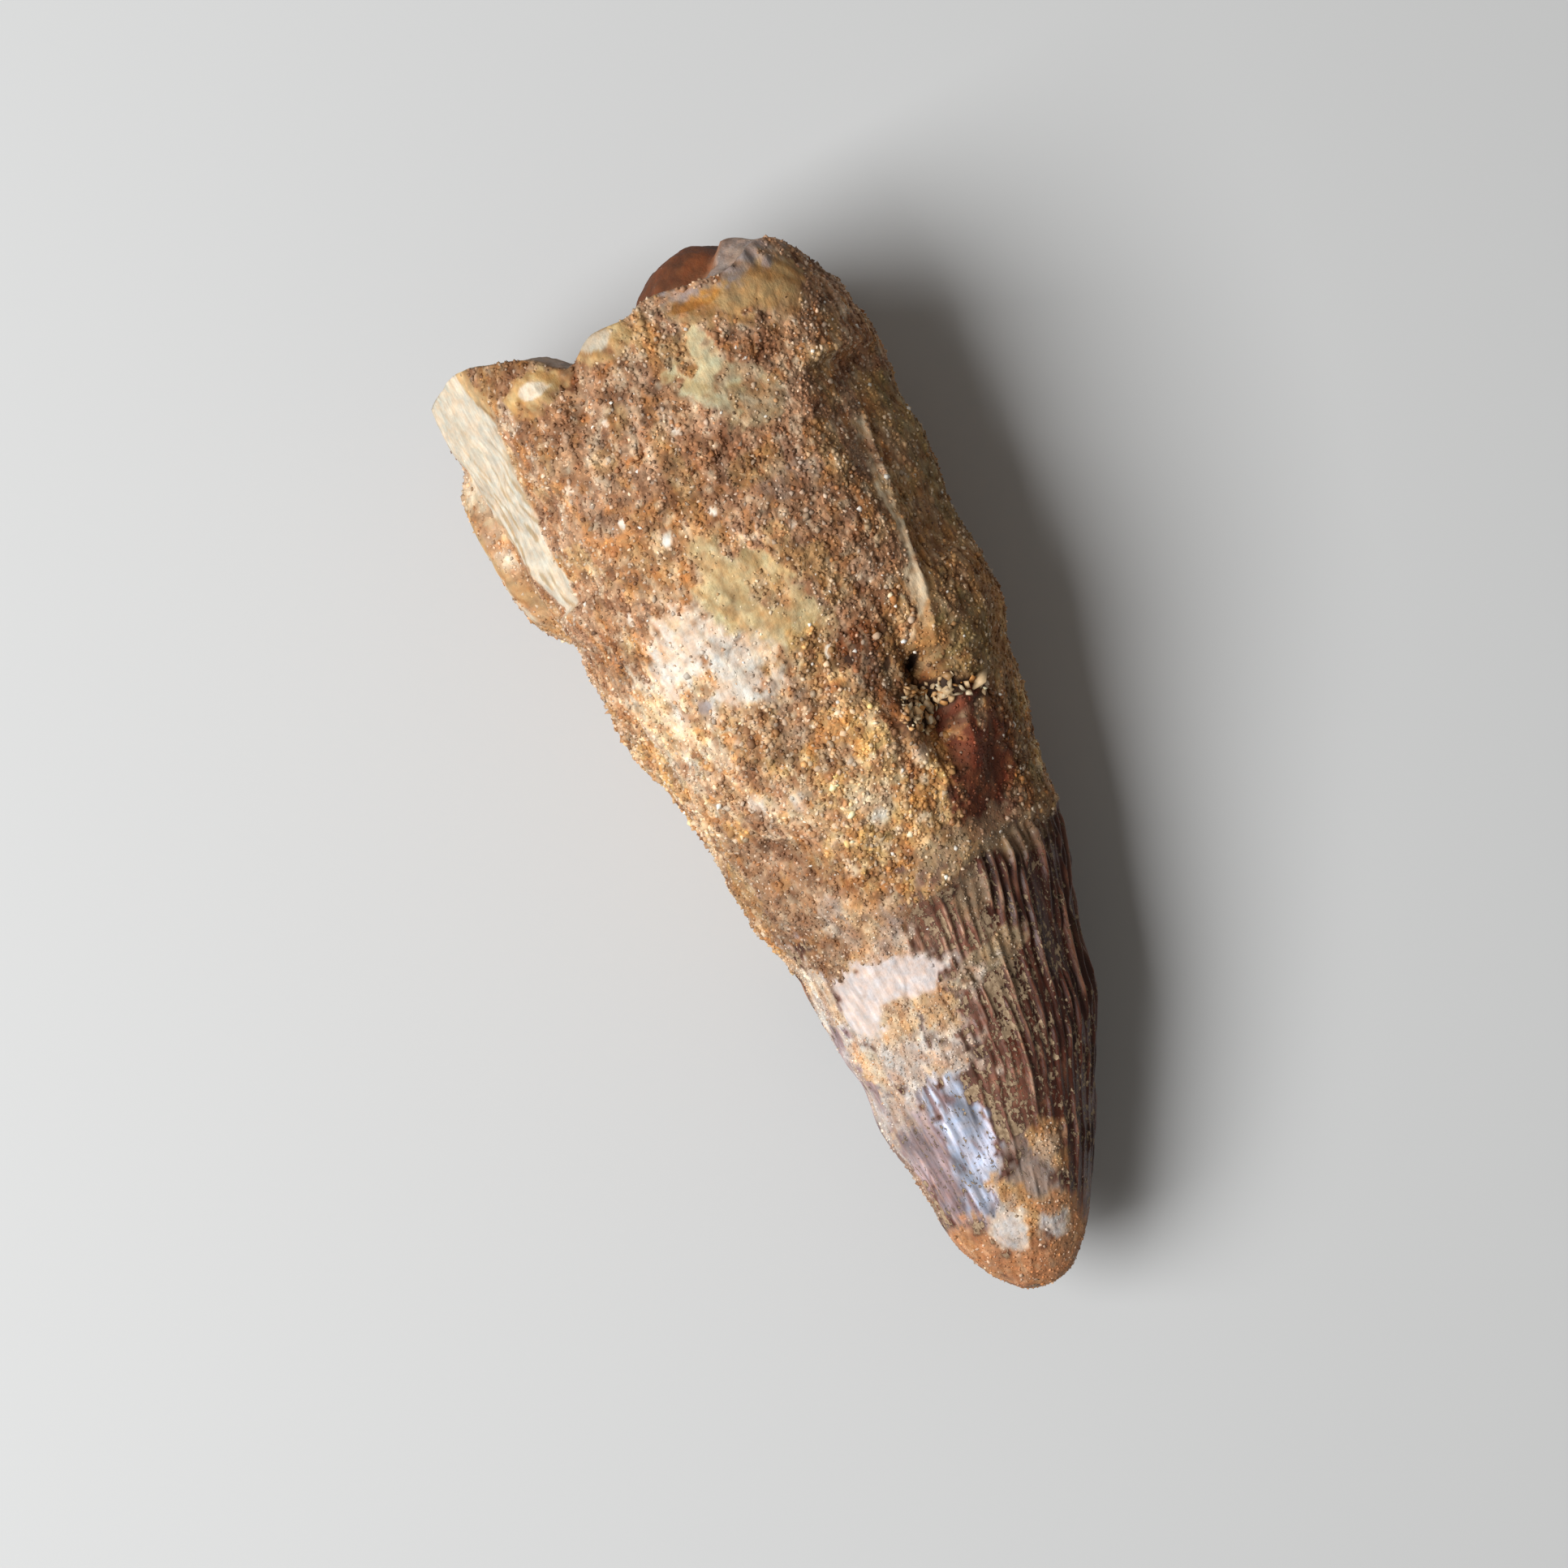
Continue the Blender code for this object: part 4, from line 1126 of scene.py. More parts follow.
# How far up and to the left of the picture a point lies, from 0 to 1: towards the lamp, where more pale
# wear and dust are put as painted light.
def upperLeft(points):
    shareOfY, middle, start, full = enamelForm["upperLeft"]
    return ease(start, full, points[..., 2] - middle - shareOfY * points[..., 1])


# Thin broken lines along the tooth: full where a swelling passes through 0, and only in places.
def thinLines(points, lines, thin, places, placed, strength):
    x, y, z = np.moveaxis(points, -1, 0)
    line = ease(*thin, np.abs(swells(x, y, z, lines)))
    return strength * line * ease(*placed, swells(x, y, z, places))


# Colours of the skin: the finish's own, streaked along the tooth on the enamel, pale on its worn
# crests, and with thin broken lines, pale on dark enamel and dark on bright. The pale crests and pale
# lines are stronger towards the lamp, which is painted light.
def skinColours(points, look, crest):
    x, y, z = np.moveaxis(points, -1, 0)
    colour = look[..., :3]
    enamel = look[..., enamelColumn]
    bright = ease(*enamelForm["bright"], colour.mean(axis=-1))
    streaked, moreStreaked = enamelForm["streaked"]
    streak = (streaked + moreStreaked * bright) * swells(x, y, z, enamelForm["streaks"])
    colour = colour * (1 + enamel * streak)[..., None]
    lit = atLeast(enamelForm["lit"], upperLeft(points))
    least, more = enamelForm["wornShare"]
    worn = least + more * ease(*enamelForm["worn"], swells(x, y, z, enamelForm["wornPlaces"]))
    worn = worn * ease(*enamelForm["wornCrest"], crest)
    pale = np.maximum(worn, thinLines(points, *enamelForm["paleLines"])) * enamel * lit
    pale = (pale * (1 - enamelForm["brightSpares"] * bright))[..., None]
    colour = colour + (np.array(enamelForm["wornColour"]) - colour) * pale
    dark = (enamel * bright * thinLines(points, *enamelForm["darkLines"]))[..., None]
    return colour + (np.array(enamelForm["lineColour"]) - colour) * dark


# How dusty with sand the skin is: most in the grooves, more high up, in places, and only where the
# enamel is dark; more of it towards the lamp on the upper left is painted light.
def skinDustWithPaintedLight(points, look, crest):
    x, y, z = np.moveaxis(points, -1, 0)
    least, start, full = enamelForm["dustGroove"]
    dust = atLeast(least, ease(start, full, crest))
    least, start, full = enamelForm["dusted"]
    dust = dust * atLeast(least, ease(start, full, swells(x, y, z, enamelForm["dustPlaces"])))
    dust = dust * ease(*enamelForm["dustDark"], look[..., :3].mean(axis=-1))
    least, start, full = enamelForm["dustHighUp"]
    dust = dust * atLeast(least, ease(start, full, z))
    return dust * atLeast(enamelForm["lit"], upperLeft(points))


# A skin's triangles: two for every cell of the grid, and a fan at each end, which at a join closes
# it out of sight.
def skinTriangles(rings, sides):
    ring, side = np.meshgrid(np.arange(rings - 1), np.arange(sides), indexing="ij")
    a, b = ring * sides + side, ring * sides + (side + 1) % sides
    c, d = b + sides, a + sides
    cells = np.stack([a, b, c, a, c, d], axis=-1).reshape(-1, 3)
    around = np.arange(sides)
    following = (around + 1) % sides
    edge = (rings - 1) * sides
    startFan = np.stack([np.full(sides, rings * sides), following, around], axis=-1)
    endFan = np.stack([np.full(sides, rings * sides + 1), edge + around, edge + following], axis=-1)
    return np.concatenate([cells, startFan, endFan])


# A skin's flat map: round the tooth one way, and the other way from the broken end to the tip, in
# step with the rings' distances.
def skinMap(points):
    rings, sides = points.shape[:2]
    margin, fan = 0.01, 0.02  # at the map's lower edge, and the fans' height in millimetres
    step = np.linalg.norm(np.diff(points, axis=0), axis=-1).mean(axis=1)
    height = np.concatenate([[fan], fan + np.cumsum(step)])
    height = margin + (1 - 2 * margin) * height / (height[-1] + fan)
    ring, side = np.meshgrid(np.arange(rings - 1), np.arange(sides), indexing="ij")
    u0, u1 = side / sides, (side + 1) / sides
    v0, v1 = height[ring], height[ring + 1]
    cells = np.stack([u0, v0, u1, v0, u1, v1, u0, v0, u1, v1, u0, v1], axis=-1).reshape(-1, 2)
    left, right = np.arange(sides) / sides, (np.arange(sides) + 1) / sides
    middle = (left + right) / 2
    low, high = np.full(sides, height[0]), np.full(sides, height[-1])
    startFan = np.stack([middle, middle * 0, right, low, left, low], axis=-1)
    endFan = np.stack([middle, middle * 0 + 1, left, high, right, high], axis=-1)
    return np.concatenate([cells, startFan.reshape(-1, 2), endFan.reshape(-1, 2)])


# A skin's mesh with its flat map, its colours and what its material reads. The last two points are
# the middles of the fans.
def makeSkin(name, points, look, crest, last):
    rings, sides = points.shape[:2]
    allPoints = np.concatenate([points.reshape(-1, 3), [points[0].mean(axis=0), last]])
    piece = putMesh(name, allPoints * mm, skinTriangles(rings, sides))
    keepMap(piece, skinMap(points))
    colours = skinColours(points, look, crest).reshape(-1, 3)
    keepColour(piece, "tint", toLight(np.concatenate([colours, colours[:1], colours[-1:]])))
    looks = np.concatenate([look.reshape(-1, look.shape[-1]), look[0, :1], look[-1, :1]])
    keepNumber(piece, "sandy", looks[:, sandyColumn])
    keepNumber(piece, "enamel", looks[:, enamelColumn])
    dust = skinDustWithPaintedLight(points, look, crest).ravel()
    keepNumber(piece, "dust", np.concatenate([dust, dust[:1], dust[-1:]]))
    piece.data.shade_smooth()
    return piece


# The sand grains. Each piece lies on the finishes whose grain size is within its sizes. Larger is how
# much larger a grain is than its finish says, lifts are the lowest and the highest place of its
# middle in half sizes, and quartz is how far it goes over to clear quartz.
sand = {
    "pieces": (
        {"name": "sandOnRoot", "under": "rootSkin", "grain": "chip", "sizes": (0.0, 0.45),
         "larger": 1.0, "lifts": (-0.75, 0.10), "quartz": 0.0, "count": 19500, "seed": 101},
        {"name": "sandOnCrust", "under": "crustSkin", "grain": "chip", "sizes": (0.0, 0.45),
         "larger": 1.0, "lifts": (-0.70, 0.20), "quartz": 0.0, "count": 15500, "seed": 103},
        {"name": "sandOnCrown", "under": "crownSkin", "grain": "chip", "sizes": (0.0, 0.45),
         "larger": 1.0, "lifts": (-0.60, 0.20), "quartz": 0.0, "count": 6000, "seed": 104},
        {"name": "coarseSand", "under": "crustSkin", "grain": "lump", "sizes": (0.31, 0.45),
         "larger": 1.25, "lifts": (-0.80, -0.1), "quartz": 0.0, "count": 3000, "seed": 105},
        {"name": "quartzInPit", "under": "crustSkin", "grain": "chip", "sizes": (0.50, 0.80),
         "larger": 0.92, "lifts": (0.0, 0.8), "quartz": 1.0, "count": 115, "seed": 106},
    ),
    "offFloor": 0.02,  # how high the skin lies where the lowest grains are
    "aloneFrom": (0.5, 0.1),  # share of sand where grains start to lie lower, and where they do
    "sunkAlone": 0.8,  # and how much lower
    "uneven": 0.22,  # how far a grain's corners stray
    "stretch": 0.36,  # how unlike its three half sizes are
    "flaky": 0.42,  # how much more so for clear quartz
    "sizes": 0.24,  # how unlike the grains are in size
    "spread": 0.09,  # how unlike the grains are in brightness
    "shade": (-0.6, 0.5, 0.94),  # painted shade: how high on it a grain gets lighter and is, and how light its underside is
    "quartzGloss": 0.7,  # how much less dull quartz is
    "pale": ((0.93, 0.86, 0.78), 0.5),  # colour as it looks, how far a pale grain goes over to it
    "dark": ((0.30, 0.17, 0.10), 0.4),
    "amber": ((0.76, 0.46, 0.22), 0.35),
    "amberShare": 0.05,
    "clear": ((0.97, 0.95, 0.91), 0.85),
    "clearShare": 0.006,
    "quartz": ((0.82, 0.54, 0.26), (1.0, 0.94, 0.80)),
    "clearer": 0.6,  # below 1, more of the quartz is clear
    "leastQuartz": 0.4,  # square of the least share of that colour
    "mapSlant": ((0.8, 0.1), (0.15, 0.75), (0.3, 0.35)),  # where x, y and z lead on the flat map
    "mapFill": 0.36,  # half of how much of its cell a grain fills there
}


# Turns that point every way: a rotation for each row of four random numbers, read as a quaternion.
def randomTurns(numbers):
    q = numbers / np.linalg.norm(numbers, axis=1, keepdims=True)
    w, x, y, z = q.T
    rows = [1 - 2 * (y * y + z * z), 2 * (x * y - z * w), 2 * (x * z + y * w),
            2 * (x * y + z * w), 1 - 2 * (x * x + z * z), 2 * (y * z - x * w),
            2 * (x * z - y * w), 2 * (y * z + x * w), 1 - 2 * (x * x + y * y)]
    return np.stack(rows, axis=-1).reshape(-1, 3, 3)


# The plain grains: a lump of twelve corners and twenty faces, and a chip with five corners round it
# between two points.
def plainGrain(shape):
    if shape == "chip":
        turn = np.radians(72.0 * np.arange(5))
        around = np.stack([np.cos(turn), np.sin(turn), 0.25 * np.cos(2 * turn)], axis=-1)
        i = np.arange(5)
        j = (i + 1) % 5
        upper = np.stack([i, j, np.full(5, 5)], axis=-1)
        lower = np.stack([j, i, np.full(5, 6)], axis=-1)
        return np.concatenate([around, [(0, 0, 1), (0, 0, -1)]]), np.concatenate([upper, lower])
    g = (1 + 5 ** 0.5) / 2
    corners = np.array([(-1, g, 0), (1, g, 0), (-1, -g, 0), (1, -g, 0), (0, -1, g), (0, 1, g),
                        (0, -1, -g), (0, 1, -g), (g, 0, -1), (g, 0, 1), (-g, 0, -1), (-g, 0, 1)])
    faces = np.array([(0, 11, 5), (0, 5, 1), (0, 1, 7), (0, 7, 10), (0, 10, 11), (1, 5, 9),
                      (5, 11, 4), (11, 10, 2), (10, 7, 6), (7, 1, 8), (3, 9, 4), (3, 4, 2),
                      (3, 2, 6), (3, 6, 8), (3, 8, 9), (4, 9, 5), (2, 4, 11), (6, 2, 10),
                      (8, 6, 7), (9, 8, 1)])
    return corners / np.hypot(1, g), faces


# Where the grains of a piece lie: cells of the skin are picked in step with area * share / size^2,
# and each grain has a random place in its cell. Gives places, directions out, radii and finishes.
def placeGrains(row, rng, points, look, start, end, shift):
    count = row["count"]
    onward = np.roll(points, -1, axis=1)
    alongSide = onward[:-1] - points[:-1]
    alongRing = points[1:] - points[:-1]
    normal = np.cross(alongSide, alongRing)
    area = np.linalg.norm(normal, axis=-1)
    x = points[:-1, :, 0] + shift[0]
    own = (x < end) & ((x > start) | (start == 0)) & (points[:-1, :, 2] > sand["offFloor"])
    size = look[:-1, :, sizeColumn]
    own = own & (size >= row["sizes"][0]) & (size < row["sizes"][1])
    reach = np.cumsum((area * look[:-1, :, sandyColumn] * own / size ** 2).ravel())
    picked = np.searchsorted(reach, (np.arange(count) + rng.random(count)) / count * reach[-1])
    ring, side = np.divmod(np.minimum(picked, len(reach) - 1), points.shape[1])
    a, b = rng.random((2, count, 1))
    up = normal[ring, side] / np.maximum(area[ring, side], 1e-9)[:, None]
    base = points[ring, side] + a * alongSide[ring, side] + b * alongRing[ring, side]
    uneven = np.exp(sand["sizes"] * rng.standard_normal(count))
    radius = size[ring, side] / 2 * row["larger"] * uneven
    return base, up, radius, look[ring, side]


# The grains' corners about their middles: dented, stretched and turned at random.
def shapeGrains(row, rng, corners, radius):
    count = row["count"]
    shape = corners[None] * (1 + sand["uneven"] * rng.uniform(-1, 1, (count, len(corners), 1)))
    stretch = sand["stretch"] + sand["flaky"] * row["quartz"]
    shape = shape * (1 + stretch * rng.uniform(-1, 1, (count, 1, 3))) * radius[:, None, None]
    return np.einsum("nij,nkj->nki", randomTurns(rng.standard_normal((count, 4))), shape)


# The grains' colours: their finish's, or gone over to one of the kinds of sand, or to quartz from
# amber to clear, and each a little brighter or darker.
def grainColours(row, rng, finish):
    count = row["count"]
    colour = finish[:, :3]
    draw = rng.random(count)
    bounds = np.zeros(count)
    shares = (finish[:, paleColumn], finish[:, darkColumn], sand["amberShare"], sand["clearShare"])
    for portion, kind in zip(shares, ("pale", "dark", "amber", "clear")):
        chosen = ((draw >= bounds) & (draw < bounds + portion))[:, None]
        other, far = sand[kind]
        colour = np.where(chosen, colour + (np.array(other) - colour) * far, colour)
        bounds = bounds + portion
    amber, clear = np.array(sand["quartz"])
    toward = amber + (clear - amber) * rng.random((count, 1)) ** sand["clearer"]
    far = row["quartz"] * rng.uniform(sand["leastQuartz"], 1.0, count) ** 0.5
    colour = colour + (toward - colour) * far[:, None]
    return colour * np.exp(sand["spread"] * rng.standard_normal(count))[:, None]


# The grains' flat map gives each one a square cell, where its faces lie as seen at a slant.
def grainMap(count, corners, faces):
    across = int(np.ceil(count ** 0.5))
    cellY, cellX = np.divmod(np.arange(count), across)
    flat = 0.5 + sand["mapFill"] * (corners @ np.array(sand["mapSlant"]))[faces]
    places = (flat[None] + np.stack([cellX, cellY], axis=-1)[:, None, None]) / across
    return places.reshape(-1, 2)


# One piece of grains. They lie sunk in the skin, lower where a patch is smooth, and their undersides
# are painted a little darker as shade.
def makeGrains(row, points, look, start, end, shift):
    count = row["count"]
    rng = np.random.default_rng(row["seed"])
    base, up, radius, finish = placeGrains(row, rng, points, look, start, end, shift)
    corners, faces = plainGrain(row["grain"])
    shape = shapeGrains(row, rng, corners, radius)
    alone = sand["sunkAlone"] * ease(*sand["aloneFrom"], finish[:, sandyColumn])
    lift = (radius * (rng.uniform(*row["lifts"], count) - alone))[:, None]
    grains = (base + up * lift)[:, None] + shape
    grains[..., 2] = np.maximum(grains[..., 2], 0.0)
    indices = faces[None] + len(corners) * np.arange(count)[:, None, None]
    piece = putMesh(row["name"], grains.reshape(-1, 3) * mm, indices.reshape(-1, 3))

    colour = grainColours(row, rng, finish)
    raisedBy = np.einsum("nkj,nj->nk", shape, up) / radius[:, None]
    start, full, underside = sand["shade"]
    shade = atLeast(underside, ease(start, full, raisedBy))
    keepColour(piece, "tint", toLight(colour[:, None] * shade[..., None]).reshape(-1, 3))
    dull = rng.random(count) * (1 - sand["quartzGloss"] * row["quartz"])
    keepNumber(piece, "dull", np.repeat(dull, len(corners)))
    keepMap(piece, grainMap(count, corners, faces))
    return piece


# A value in a material. Sums on it add Math nodes.
class Wire:
    def __init__(self, paint, socket):
        self.paint = paint
        self.socket = socket

    def sum(self, operation, a, b):
        return self.paint.node("ShaderNodeMath", {"operation": operation}, {0: a, 1: b})

    def __add__(self, other):
        return self.sum("ADD", self, other)

    def __radd__(self, other):
        return self.sum("ADD", other, self)

    def __sub__(self, other):
        return self.sum("SUBTRACT", self, other)

    def __rsub__(self, other):
        return self.sum("SUBTRACT", other, self)

    def __mul__(self, other):
        return self.sum("MULTIPLY", self, other)

    def __rmul__(self, other):
        return self.sum("MULTIPLY", other, self)


# A material and its nodes.
class Paint:
    def __init__(self, name):
        self.material = bpy.data.materials.new(name)
        self.material.use_nodes = True
        self.tree = self.material.node_tree
        self.shader = self.tree.nodes["Principled BSDF"]

    # Any node: its type, its settings, then the values or wires of its sockets.
    def node(self, kind, settings=None, inputs=None, output=0):
        made = self.tree.nodes.new(kind)
        for key, value in (settings or {}).items():
            if key == "stops":
                self.setStops(made.color_ramp.elements, value)
            else:
                setattr(made, key, value)
        self.fill(made, inputs or {})
        return Wire(self, made.outputs[output])

    # The stops of a ramp, each a position and a grey.
    def setStops(self, elements, stops):
        while len(elements) < len(stops):
            elements.new(1.0)
        for element, (position, value) in zip(elements, stops):
            element.position = position
            element.color = (value, value, value, 1.0)

    # Values go into a node's sockets, and wires are linked to them.
    def fill(self, node, inputs):
        for key, value in inputs.items():
            if isinstance(value, Wire):
                self.tree.links.new(value.socket, node.inputs[key])
            else:
                node.inputs[key].default_value = value

    # A number read off a ramp.
    def ramp(self, value, *stops):
        return self.node("ShaderNodeValToRGB", {"stops": stops}, {0: value})

    # Clouds of a size, with finer clouds in them.
    def noise(self, place, scale, detail=3.0, rough=0.6):
        inputs = {"Vector": place, "Scale": scale, "Detail": detail, "Roughness": rough}
        return self.node("ShaderNodeTexNoise", {}, inputs)

    # Irregular cells: how far a point is from the middle of its cell, or a colour of the cell's own.
    def cells(self, place, scale, output="Distance"):
        return self.node("ShaderNodeTexVoronoi", {}, {"Vector": place, "Scale": scale}, output)

    # One part of a colour, red first.
    def part(self, colour, which=0):
        return self.node("ShaderNodeSeparateColor", {}, {0: colour}, which)

    # Squeezes the object's coordinates by a factor on each axis.
    def squeezed(self, factors):
        place = self.node("ShaderNodeTexCoord", output="Object")
        return self.node("ShaderNodeMapping", {}, {"Vector": place, "Scale": factors})

    # What the mesh keeps for every point.
    def kept(self, name, output="Fac"):
        return self.node("ShaderNodeAttribute", {"attribute_name": name}, output=output)

    # A colour made brighter or darker by a number.
    def scaled(self, colour, factor):
        return self.node("ShaderNodeVectorMath", {"operation": "SCALE"}, {0: colour, "Scale": factor})

    # Goes from one colour to another.
    def blend(self, factor, a, b):
        return self.node("ShaderNodeMix", {"data_type": "RGBA"}, {0: factor, 6: a, 7: b}, output=2)


skinFinish = {
    "cellScale": 2400.0,  # specks of the sandy cement, to a metre
    "fineScale": 5200.0,
    "fineLight": (0.80, 0.40),  # least brightness, and more of it
    "hueScale": 1500.0,
    "hueStops": ((0.35, 0.0), (0.65, 1.0)),
    "warmer": (1.06, 0.96, 0.88, 1.0),
    "cooler": (0.95, 1.02, 1.07, 1.0),
    "streaks": (260.0, 3400.0, 3400.0),  # along, across and up
    "fibres": (420.0, 2600.0, 2600.0),
    "specks": (1500.0, 3600.0, 3600.0),
    # Ramps from a swelling to brightness, and by how much each is made brighter after it.
    "sandStops": ((0.0, 0.58), (0.3, 0.68), (0.7, 0.80), (0.9, 0.90), (1.0, 1.0)),
    "sandLight": 1.3,
    "boneStops": ((0.3, 0.70), (0.5, 0.86), (0.7, 1.0)),
    "boneLight": 1.14,
    "enamelStops": ((0.3, 0.50), (0.5, 0.72), (0.7, 1.0)),
    "enamelLight": 1.35,
    "dustScale": 4400.0,
    "dustShare": 0.30,
    "dustCellShare": 0.22,
    "dustStops": ((0.74, 0.0), (0.80, 1.0)),
    "dustColours": ((0.44, 0.31, 0.19, 1.0), (0.27, 0.175, 0.10, 1.0)),
    "sandRough": 0.88,
    "boneSmoother": 0.25,  # how much less rough bare bone can be
    "enamelRough": 0.30,
    "streakRough": 0.28,  # how much rougher its streaks are
    "coat": 0.34,
    "coatRough": 0.22,
    "coatStops": ((0.05, 0.4), (0.3, 1.0)),  # lightness, and how much of the coat dark enamel has
    "gloss": 0.35,
    "bumpDepth": 0.00016,
    "fibreBump": 0.35,  # shares of that depth
    "fineBump": 0.35,
    "streakBump": 0.35,
    "enamelFlatter": 0.8,
    "dustBump": 0.6,
}


# The skin: its kept colour, specked by small cells where it is sandy and streaked along the tooth
# where it is enamel or bone, dust on the enamel with painted light in it towards the lamp, rough sand
# beside glossy enamel, and grit and streaks in its bump.
def skinMaterial():
    paint = Paint("fossilSkin")
    place = paint.node("ShaderNodeTexCoord", output="Object")
    tint = paint.kept("tint", "Color")
    sandy, enamel = paint.kept("sandy"), paint.kept("enamel")
    dome = paint.cells(place, skinFinish["cellScale"])
    lot = paint.part(paint.cells(place, skinFinish["cellScale"], "Color"))
    fine = paint.noise(place, skinFinish["fineScale"], 4.0, 0.65)
    streak = paint.noise(paint.squeezed(skinFinish["streaks"]), 1.0, 4.0, 0.6)
    fibre = paint.noise(paint.squeezed(skinFinish["fibres"]), 1.0, 3.0, 0.6)
    specked = paint.ramp(lot, *skinFinish["sandStops"]) * skinFinish["sandLight"]
    smooth = paint.ramp(fibre, *skinFinish["boneStops"]) * skinFinish["boneLight"]
    glazed = paint.ramp(streak, *skinFinish["enamelStops"]) * skinFinish["enamelLight"]
    ground = smooth + sandy * (specked - smooth)

    speck = paint.noise(paint.squeezed(skinFinish["specks"]), 1.0, 4.0, 0.65)
    dustCells = paint.cells(place, skinFinish["dustScale"], "Color")
    # Dust on the enamel, lighter and more of it towards the lamp: partly painted light.
    dustyWithPaintedLight = speck + skinFinish["dustShare"] * paint.kept("dust")
    dustyWithPaintedLight = dustyWithPaintedLight + skinFinish["dustCellShare"] * paint.part(dustCells)
    dustyWithPaintedLight = paint.ramp(dustyWithPaintedLight, *skinFinish["dustStops"]) * enamel
    glazed = glazed + dustyWithPaintedLight * (1.0 - glazed)
    least, more = skinFinish["fineLight"]
    level = (ground + enamel * (glazed - ground)) * (least + more * fine)
    hue = paint.ramp(paint.noise(place, skinFinish["hueScale"]), *skinFinish["hueStops"])
    hue = paint.blend(hue, skinFinish["warmer"], skinFinish["cooler"])
    tint = paint.node("ShaderNodeVectorMath", {"operation": "MULTIPLY"}, {0: tint, 1: hue})

    rough = skinFinish["sandRough"] - skinFinish["boneSmoother"] * (1.0 - sandy) * fine
    bare = enamel - dustyWithPaintedLight
    streaky = skinFinish["enamelRough"] + skinFinish["streakRough"] * streak
    rough = rough + bare * (streaky - rough)
    lightness = paint.node("ShaderNodeRGBToBW", {}, {0: tint})
    coat = skinFinish["coat"] * bare * paint.ramp(lightness, *skinFinish["coatStops"])

    height = sandy * (1.0 - dome) + (1.0 - sandy) * skinFinish["fibreBump"] * fibre
    height = height + skinFinish["fineBump"] * fine
    height = height * (1.0 - skinFinish["enamelFlatter"] * enamel)
    height = height + enamel * skinFinish["streakBump"] * streak + skinFinish["dustBump"] * dustyWithPaintedLight
    bump = {"Strength": 1.0, "Distance": skinFinish["bumpDepth"], "Height": height}

    dustColour = paint.blend(paint.part(dustCells, 1), *skinFinish["dustColours"])
    colour = paint.scaled(paint.blend(dustyWithPaintedLight, tint, dustColour), level)
    paint.fill(paint.shader, {"Base Color": colour, "Roughness": rough, "Coat Weight": coat,
                              "Coat Roughness": skinFinish["coatRough"],
                              "Specular IOR Level": skinFinish["gloss"],
                              "Normal": paint.node("ShaderNodeBump", {}, bump)})
    return paint.material


grainFinish = {
    "fineScale": 4200.0,
    "fineLight": (0.75, 0.5),  # least brightness, and more of it
    "dullest": 0.88,
    "glossiest": 0.42,
    "gloss": 0.4,
}


# The grains: each has its own colour and its own dullness, and a little mottling on it.
def grainMaterial():
    paint = Paint("sandGrain")
    place = paint.node("ShaderNodeTexCoord", output="Object")
    least, more = grainFinish["fineLight"]
    level = least + more * paint.noise(place, grainFinish["fineScale"], 2.0, 0.5)
    glossiest = grainFinish["glossiest"]
    rough = glossiest + (grainFinish["dullest"] - glossiest) * paint.kept("dull")
    paint.fill(paint.shader, {"Base Color": paint.scaled(paint.kept("tint", "Color"), level),
                              "Roughness": rough, "Specular IOR Level": grainFinish["gloss"]})
    return paint.material


# Everything on the fossil rides on its one body, and shows in place of the solid.
def finishPiece(piece, material):
    piece.data.materials.append(material)
    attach(piece, "root")
    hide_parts("tooth")


shift = solidShift()
skinPaint = skinMaterial()
grainPaint = grainMaterial()
for name, start, end, bodyRings, sides in skinForms["pieces"]:
    points, look, crest = skinGrid(start, end, bodyRings, sides, shift)
    last = points[-1].mean(axis=0) if end < toothForm["length"] else tipPoint() - shift
    skin = makeSkin(name, points, look, crest, last)
    finishPiece(skin, skinPaint)
    print(name + ":", len(skin.data.polygons), "triangles")
    for row in sand["pieces"]:
        if row["under"] == name:
            grains = makeGrains(row, points, look, start, end, shift)
            finishPiece(grains, grainPaint)
            print(row["name"] + ":", len(grains.data.polygons), "triangles")

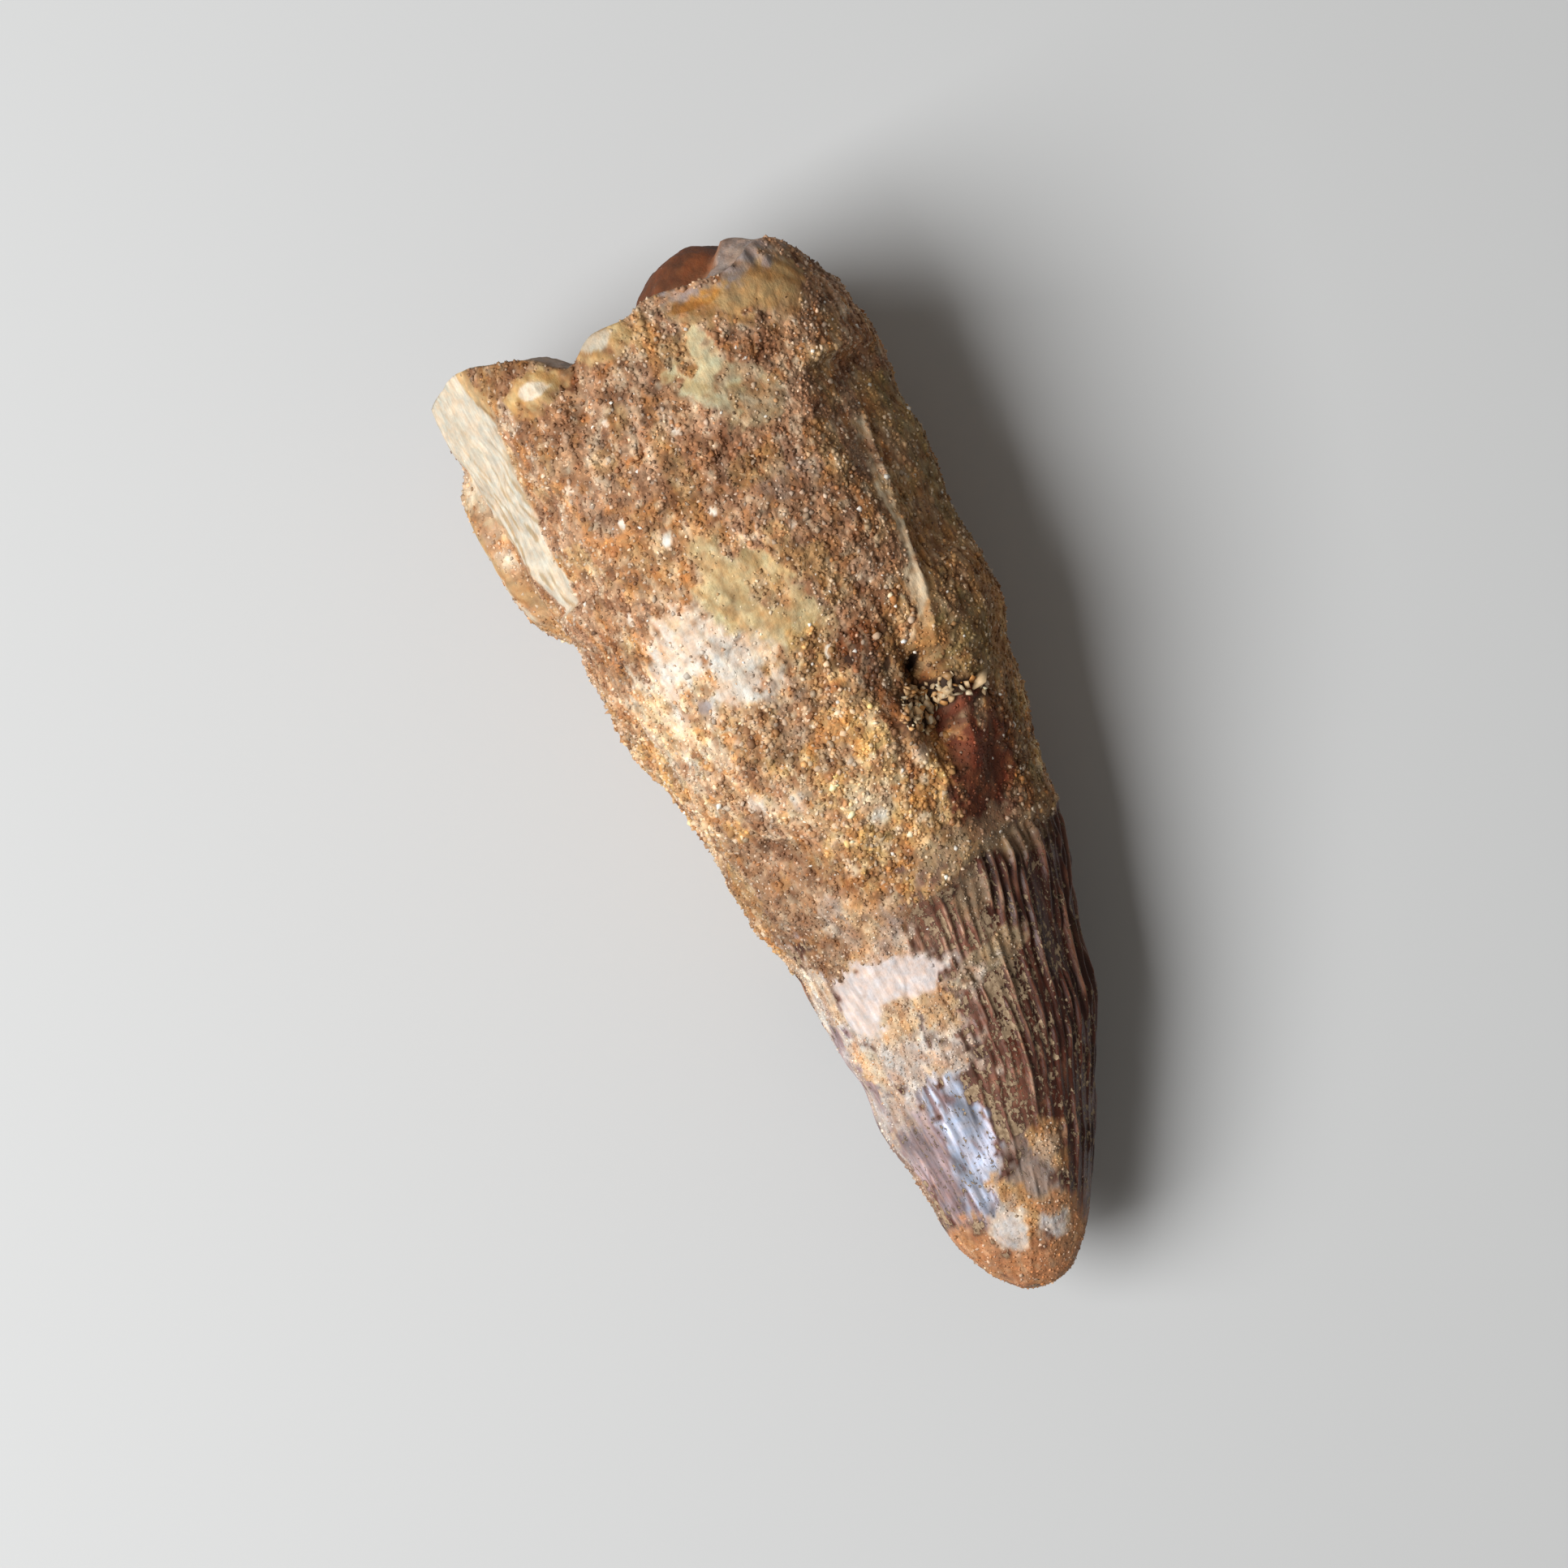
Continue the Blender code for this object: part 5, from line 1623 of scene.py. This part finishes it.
# The room: a pale floor, one big soft light from the left of the picture, a soft sky and the camera
# straight above.
room = {
    "floor": 1.6,
    "floorColour": (0.60, 0.60, 0.595, 1.0),
    "floorRough": 0.85,
    "lightSize": 0.34,
    "lightFrom": (-0.20, -0.98),  # over the floor, towards the light
    "lightLift": 52.0,  # degrees above the floor
    "lightDistance": 0.55,
    "lightPower": 4.0,
    "lightColour": (0.97, 0.985, 1.0),
    "sky": (1.0, 0.96, 0.90, 1.0),
    "skyPower": 0.16,
    "cameraOver": (-0.001727, -0.003887, 0.272),
    "cameraTurn": 64.0,
    "lens": 85.6,
    "sensor": 36.0,
    "nearest": 0.01,  # what lies nearer to the camera isn't seen
}

half = room["floor"] / 2
floorCorners = [(-half, -half, 0), (half, -half, 0), (half, half, 0), (-half, half, 0)]
floorMesh = bpy.data.meshes.new("floor")
floorMesh.from_pydata(floorCorners, [], [(0, 1, 2, 3)])
floor = bpy.data.objects.new("floor", floorMesh)
bpy.context.scene.collection.objects.link(floor)
floorPaint = Paint("paleFloor")
floorPaint.fill(floorPaint.shader, {"Base Color": room["floorColour"],
                                    "Roughness": room["floorRough"]})
floorMesh.materials.append(floorPaint.material)

lamp = bpy.data.lights.new("windowLight", "AREA")
lamp.shape = "SQUARE"
lamp.size = room["lightSize"]
lamp.energy = room["lightPower"]
lamp.color = room["lightColour"]
lampObject = bpy.data.objects.new("windowLight", lamp)
lift = radians(room["lightLift"])
quarterTurn = radians(90.0)
towards = np.array([*room["lightFrom"], 0.0])
towards = towards / np.linalg.norm(towards) * np.cos(lift) + np.array([0.0, 0.0, np.sin(lift)])
lampObject.location = towards * room["lightDistance"]
lampTurn = np.arctan2(towards[1], towards[0]) + quarterTurn
lampObject.rotation_euler = (quarterTurn - lift, 0.0, lampTurn)
bpy.context.scene.collection.objects.link(lampObject)

world = bpy.data.worlds.new("softSky")
world.use_nodes = True
background = world.node_tree.nodes["Background"]
background.inputs["Color"].default_value = room["sky"]
background.inputs["Strength"].default_value = room["skyPower"]
bpy.context.scene.world = world
bpy.context.scene.view_settings.view_transform = "Standard"

lens = bpy.data.cameras.new("camera")
lens.lens = room["lens"]
lens.sensor_width = room["sensor"]
lens.clip_start = room["nearest"]
camera = bpy.data.objects.new("camera", lens)
camera.location = room["cameraOver"]
camera.rotation_euler = (0.0, 0.0, radians(room["cameraTurn"]))
bpy.context.scene.collection.objects.link(camera)
bpy.context.scene.camera = camera
print("room: floor, light, sky and camera")
